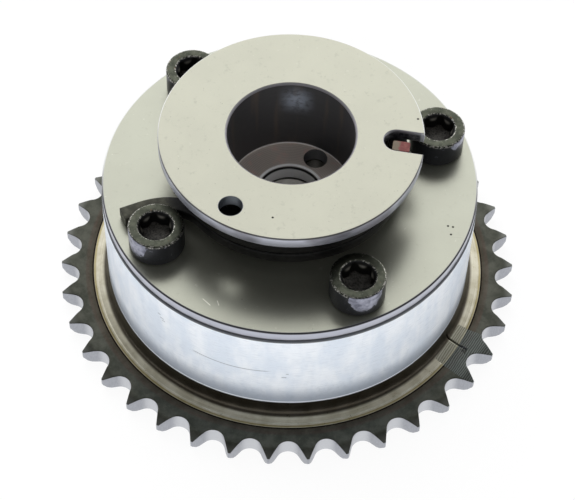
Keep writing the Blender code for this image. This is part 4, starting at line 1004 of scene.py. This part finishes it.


# black heads: olive tops with rust flecks, chipped bright edges, sides painted darker as shade with
# painted glints and patches of painted reflection at (x, y, z, reach), and sockets painted dark as
# shade, their floors less so and their ridges paler near the mouth as painted light
def boltFinish(b, h):
    f = Finish("boltFinish")
    z, top, rimRadius = f.z, b["seat"] + b["height"], b["countersink"]
    away = f.nearest(polar(h["boltCircle"], h["bolts"]))
    fleck = f.noise(0.35, 3.0, 0.65)
    cloud = f.noise(1.6, 4.0, 0.6)
    onTop = z.rise(top - 0.3, top - 0.1) * away.rise(rimRadius - 0.1, rimRadius)
    inSocket = away.rise(rimRadius - 0.05, rimRadius - 0.3) * z.rise(top - 4.2, top - 4.0)
    floor = z.rise(top - b["depth"] + 0.35, top - b["depth"] + 0.1) * inSocket
    ridge = inSocket * away.rise(b["socket"] - 0.2, b["socket"] - 0.6)
    rim = away.near(b["head"] - 0.18, 0.26) * z.rise(top - 0.5, top - 0.3)
    rim = rim.most(away.near(rimRadius + 0.02, 0.2) * z.rise(top - 0.5, top - 0.2))
    rust = f.noise(0.8, 3.0, 0.6, seed=15.0).rise(0.66, 0.70)
    speck = f.noise(0.3, 2.0, 0.6, seed=4.0).rise(0.66, 0.70)
    onSide = away.rise(b["head"] - 0.2, b["head"] - 0.05) * z.rise(b["seat"], top - 3.0)
    glint = f.noise(1.6, 4.0, 0.7, seed=7.0, squash=1.6).rise(0.62, 0.66) * 0.6
    ragged = f.noise(1.5, 4.0, 0.65, seed=12.0) * 4.0 - 1.4
    for px, py, pz, reach in b["rubbed"]:
        dx, dy, dz = f.x - px, f.y - py, z - pz
        distance = (dx * dx + dy * dy + dz * dz) ** 0.5 + ragged
        glint = glint.most(distance.rise(reach + 0.55, reach + 0.35))
    colour = f.layers(
        f.mix(*b["sideSteel"], cloud),
        (f.mix(*b["topSteel"], cloud.rise(0.35, 0.65)), onTop),
        ((22, 22, 21), inSocket),
        (f.mix((70, 68, 64), (36, 35, 33), fleck.rise(0.45, 0.6)), floor),
        ((104, 102, 96), ridge * z.rise(top - 1.6, top - 0.7) * (1.0 - floor)),
        ((206, 204, 196), rim * fleck.rise(0.50, 0.57)),
        ((140, 104, 82), rust * onTop * 0.5),
        ((160, 158, 148), speck * onTop * 0.7),
        (f.mix((160, 162, 177), (92, 94, 108), cloud.rise(0.3, 0.7)), glint * onSide))
    return f.finish(colour, 0.28 + 0.16 * cloud, cloud + 0.3 * fleck, 0.02, 0.6 + 0.4 * onTop)


# black wire, its coil under the disc painted darker as shade and its leg olive; the end that stands
# in the disc's slot carries a dab of red paint, which is rubbed off along one side of the wire
def springFinish(s, b):
    f = Finish("springFinish")
    cloud = f.noise(1.2, 4.0, 0.6)
    patchy = f.noise(0.8, 4.0, 0.6, seed=2.0)
    across = f.add("ShaderNodeAttribute", {"attribute_name": "across"})["Fac"]
    bare = (across + patchy * 1.6).rise(0.75, 0.35)
    paint = f.mix(f.mix(*s["paint"], patchy.rise(0.45, 0.65)), s["rubbedPaint"], bare * 0.85)
    topHeight = b["top"] - s["belowTop"]
    painted = (f.z + patchy * 1.2).rise(topHeight - 0.7, topHeight - 0.2)
    onLeg = f.radius.rise(s["outer"] + 0.8, s["outer"] + 3.5)
    colour = f.layers(f.mix(*s["coilSteel"], cloud.rise(0.4, 0.7)),
                      (f.mix(*s["legSteel"], cloud.rise(0.4, 0.7)), onLeg), (paint, painted))
    roughness = 0.38 + 0.16 * f.noise(0.6, 3.0, 0.6)
    return f.finish(colour, roughness, cloud, 0.01, 0.6 - 0.6 * painted)


def plainSteel(name, light, dark, roughness):
    f = Finish(name)
    cloud = f.noise(2.5, 4.0, 0.6)
    fine = f.noise(0.3, 3.0, 0.6)
    colour = f.mix(dark, light, cloud.rise(0.3, 0.7))
    return f.finish(colour, roughness + 0.1 * fine, fine, 0.004)


def sealFinish(dark, light):
    f = Finish("sealFinish")
    cloud = f.noise(0.8, 3.0, 0.6)
    return f.finish(f.mix(dark, light, cloud), 0.5 + 0.1 * cloud, cloud, 0.01, 0.0)


# Put together

housingShape = makeHousing(housing)
cutTimingMark(housingShape, housing)
place(housingShape, "housing", housingFinish(housing), "sprocket_housing")
place(makePlate(plate, housing), "housing", plateFinish(plate), "cover_plate")
boltLook = boltFinish(bolt, housing)
for number, angle in enumerate(housing["bolts"], 1):
    place(makeBolt(number, angle, bolt, housing), "housing", boltLook, f"cover_bolt_{number}")
place(makeBush(bush), "rotor", bushFinish(bush), "front_bush")

springShape = makeSpring(spring, bush, housing, plate, bolt["head"])
springShape.data.materials.append(springFinish(spring, bush))
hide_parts("bias_spring")
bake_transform(springShape)
print("springShape", len(springShape.data.polygons), "faces")

rotorLook = plainSteel("rotorFinish", *inside["rotor"])
hardLook = plainSteel("hardFinish", *inside["hard"])
leafLook = plainSteel("leafFinish", *inside["leaf"])
sealLook = sealFinish(*inside["seal"])
for name in sorted(nodes):
    if name in ("rotor", "bush_dowel") or name.startswith(("vane_", "lobe_", "lock_")):
        body = "housing" if name.startswith("lobe_") or name == "lock_pin_seat" else "rotor"
        look = hardLook
        if name == "rotor":
            look = rotorLook
        elif "spring" in name:
            look = leafLook
        elif "seal" in name:
            look = sealLook
        if name == "lock_pin_spring":
            pressSpring(smoothCopy(name), look)
        else:
            place(smoothCopy(name), "lock_pin" if name == "lock_pin" else body, look, name)


# Floor, light and camera

white = (1.0, 1.0, 1.0, 1.0)

# each lamp's place and target in metres, its size and its power
lamps = {"softbox": ((-0.25, 0.55, 0.75), (0.0, 0.0, 0.03), 0.9, 5.0),
         "fill": ((0.5, -0.3, 0.7), (0.0, 0.0, 0.03), 0.6, 1.2),
         "front": ((-0.16, -0.78, 0.42), (0.0, 0.0, 0.02), 0.8, 4.5)}

# the camera that the photograph's ellipses and teeth give, in degrees, metres and millimetres
view = {"tilt": 54.109, "roll": 1.694, "away": 0.40860, "target": (0.0, 0.0, 0.003465),
        "lens": 115.44, "sensor": 36.0, "shift": (0.00007, 0.02344), "clip": (0.01, 10.0)}

# the room's light by direction: dark behind the camera, then its sides and a bright wall
room = {"dark": 0.14, "sides": 0.26, "wall": 0.90, "wallEdge": (0.37, 0.54)}

ground = {"radius": 1500.0, "drop": 0.02, "paper": (238, 238, 238), "glow": 1.02, "share": 0.9}


# white to the camera and in reflections, a pale matt paper for all other light
def makeFloor(g):
    shell = Shell()
    shell.cap(shell.ring(circle(g["radius"], 64), -g["drop"]))
    floor = shell.finish("floor")
    f = Finish("floorFinish")
    floor.data.materials.append(f.finish(g["paper"], 0.9, metallic=0.0))
    path = f.add("ShaderNodeLightPath")
    seen = path["Is Camera Ray"].most(path["Is Glossy Ray"]).most(path["Is Transmission Ray"])
    glow = f.add("ShaderNodeEmission", {}, {"Color": white, "Strength": g["glow"]})
    both = f.add("ShaderNodeMixShader", {}, {
        0: seen * g["share"], 1: Value(f, f.shader.outputs[0]), 2: glow[0]})
    f.connect(f.tree.nodes["Material Output"], {0: both[0]})


def lamp(name, place, target, size, power):
    light = bpy.data.lights.new(name, "AREA")
    light.shape, light.size, light.energy = "DISK", size, power
    made = newObject(name, light)
    made.visible_glossy = False
    made.location = place
    made.rotation_euler = (Vector(target) - Vector(place)).to_track_quat("-Z", "Y").to_euler()


# the strength rises in two steps as a direction turns from the camera's side to the wall
def makeWorld(r):
    world = bpy.data.worlds.new("room")
    bpy.context.scene.world = world
    world.use_nodes = True
    n = Nodes(world.node_tree)
    direction = n.add("ShaderNodeTexCoord")["Generated"]
    back = n.add("ShaderNodeSeparateXYZ", {}, {0: direction})[1]
    strength = r["dark"] + r["sides"] * back.rise(-0.5, 0.5) + r["wall"] * back.rise(*r["wallEdge"])
    n.connect(n.tree.nodes["Background"], {"Color": white, "Strength": strength})


def makeCamera(v):
    tilt, roll = math.radians(v["tilt"]), math.radians(v["roll"])
    forward = Vector((0.0, math.cos(tilt), -math.sin(tilt)))
    side = Vector((1.0, 0.0, 0.0))
    up = side.cross(forward)
    right = math.cos(roll) * side + math.sin(roll) * up
    top = math.cos(roll) * up - math.sin(roll) * side
    camera = bpy.data.cameras.new("camera")
    camera.lens, camera.sensor_width = v["lens"], v["sensor"]
    camera.shift_x, camera.shift_y = v["shift"]
    camera.clip_start, camera.clip_end = v["clip"]
    seat = newObject("camera", camera)
    matrix = Matrix((right, top, -forward)).transposed().to_4x4()
    matrix.translation = Vector(v["target"]) - forward * v["away"]
    seat.matrix_world = matrix
    bpy.context.scene.camera = seat


makeFloor(ground)
makeWorld(room)
for name, values in lamps.items():
    lamp(name, *values)
makeCamera(view)
bpy.context.scene.view_settings.view_transform = "Standard"
print("stage set")
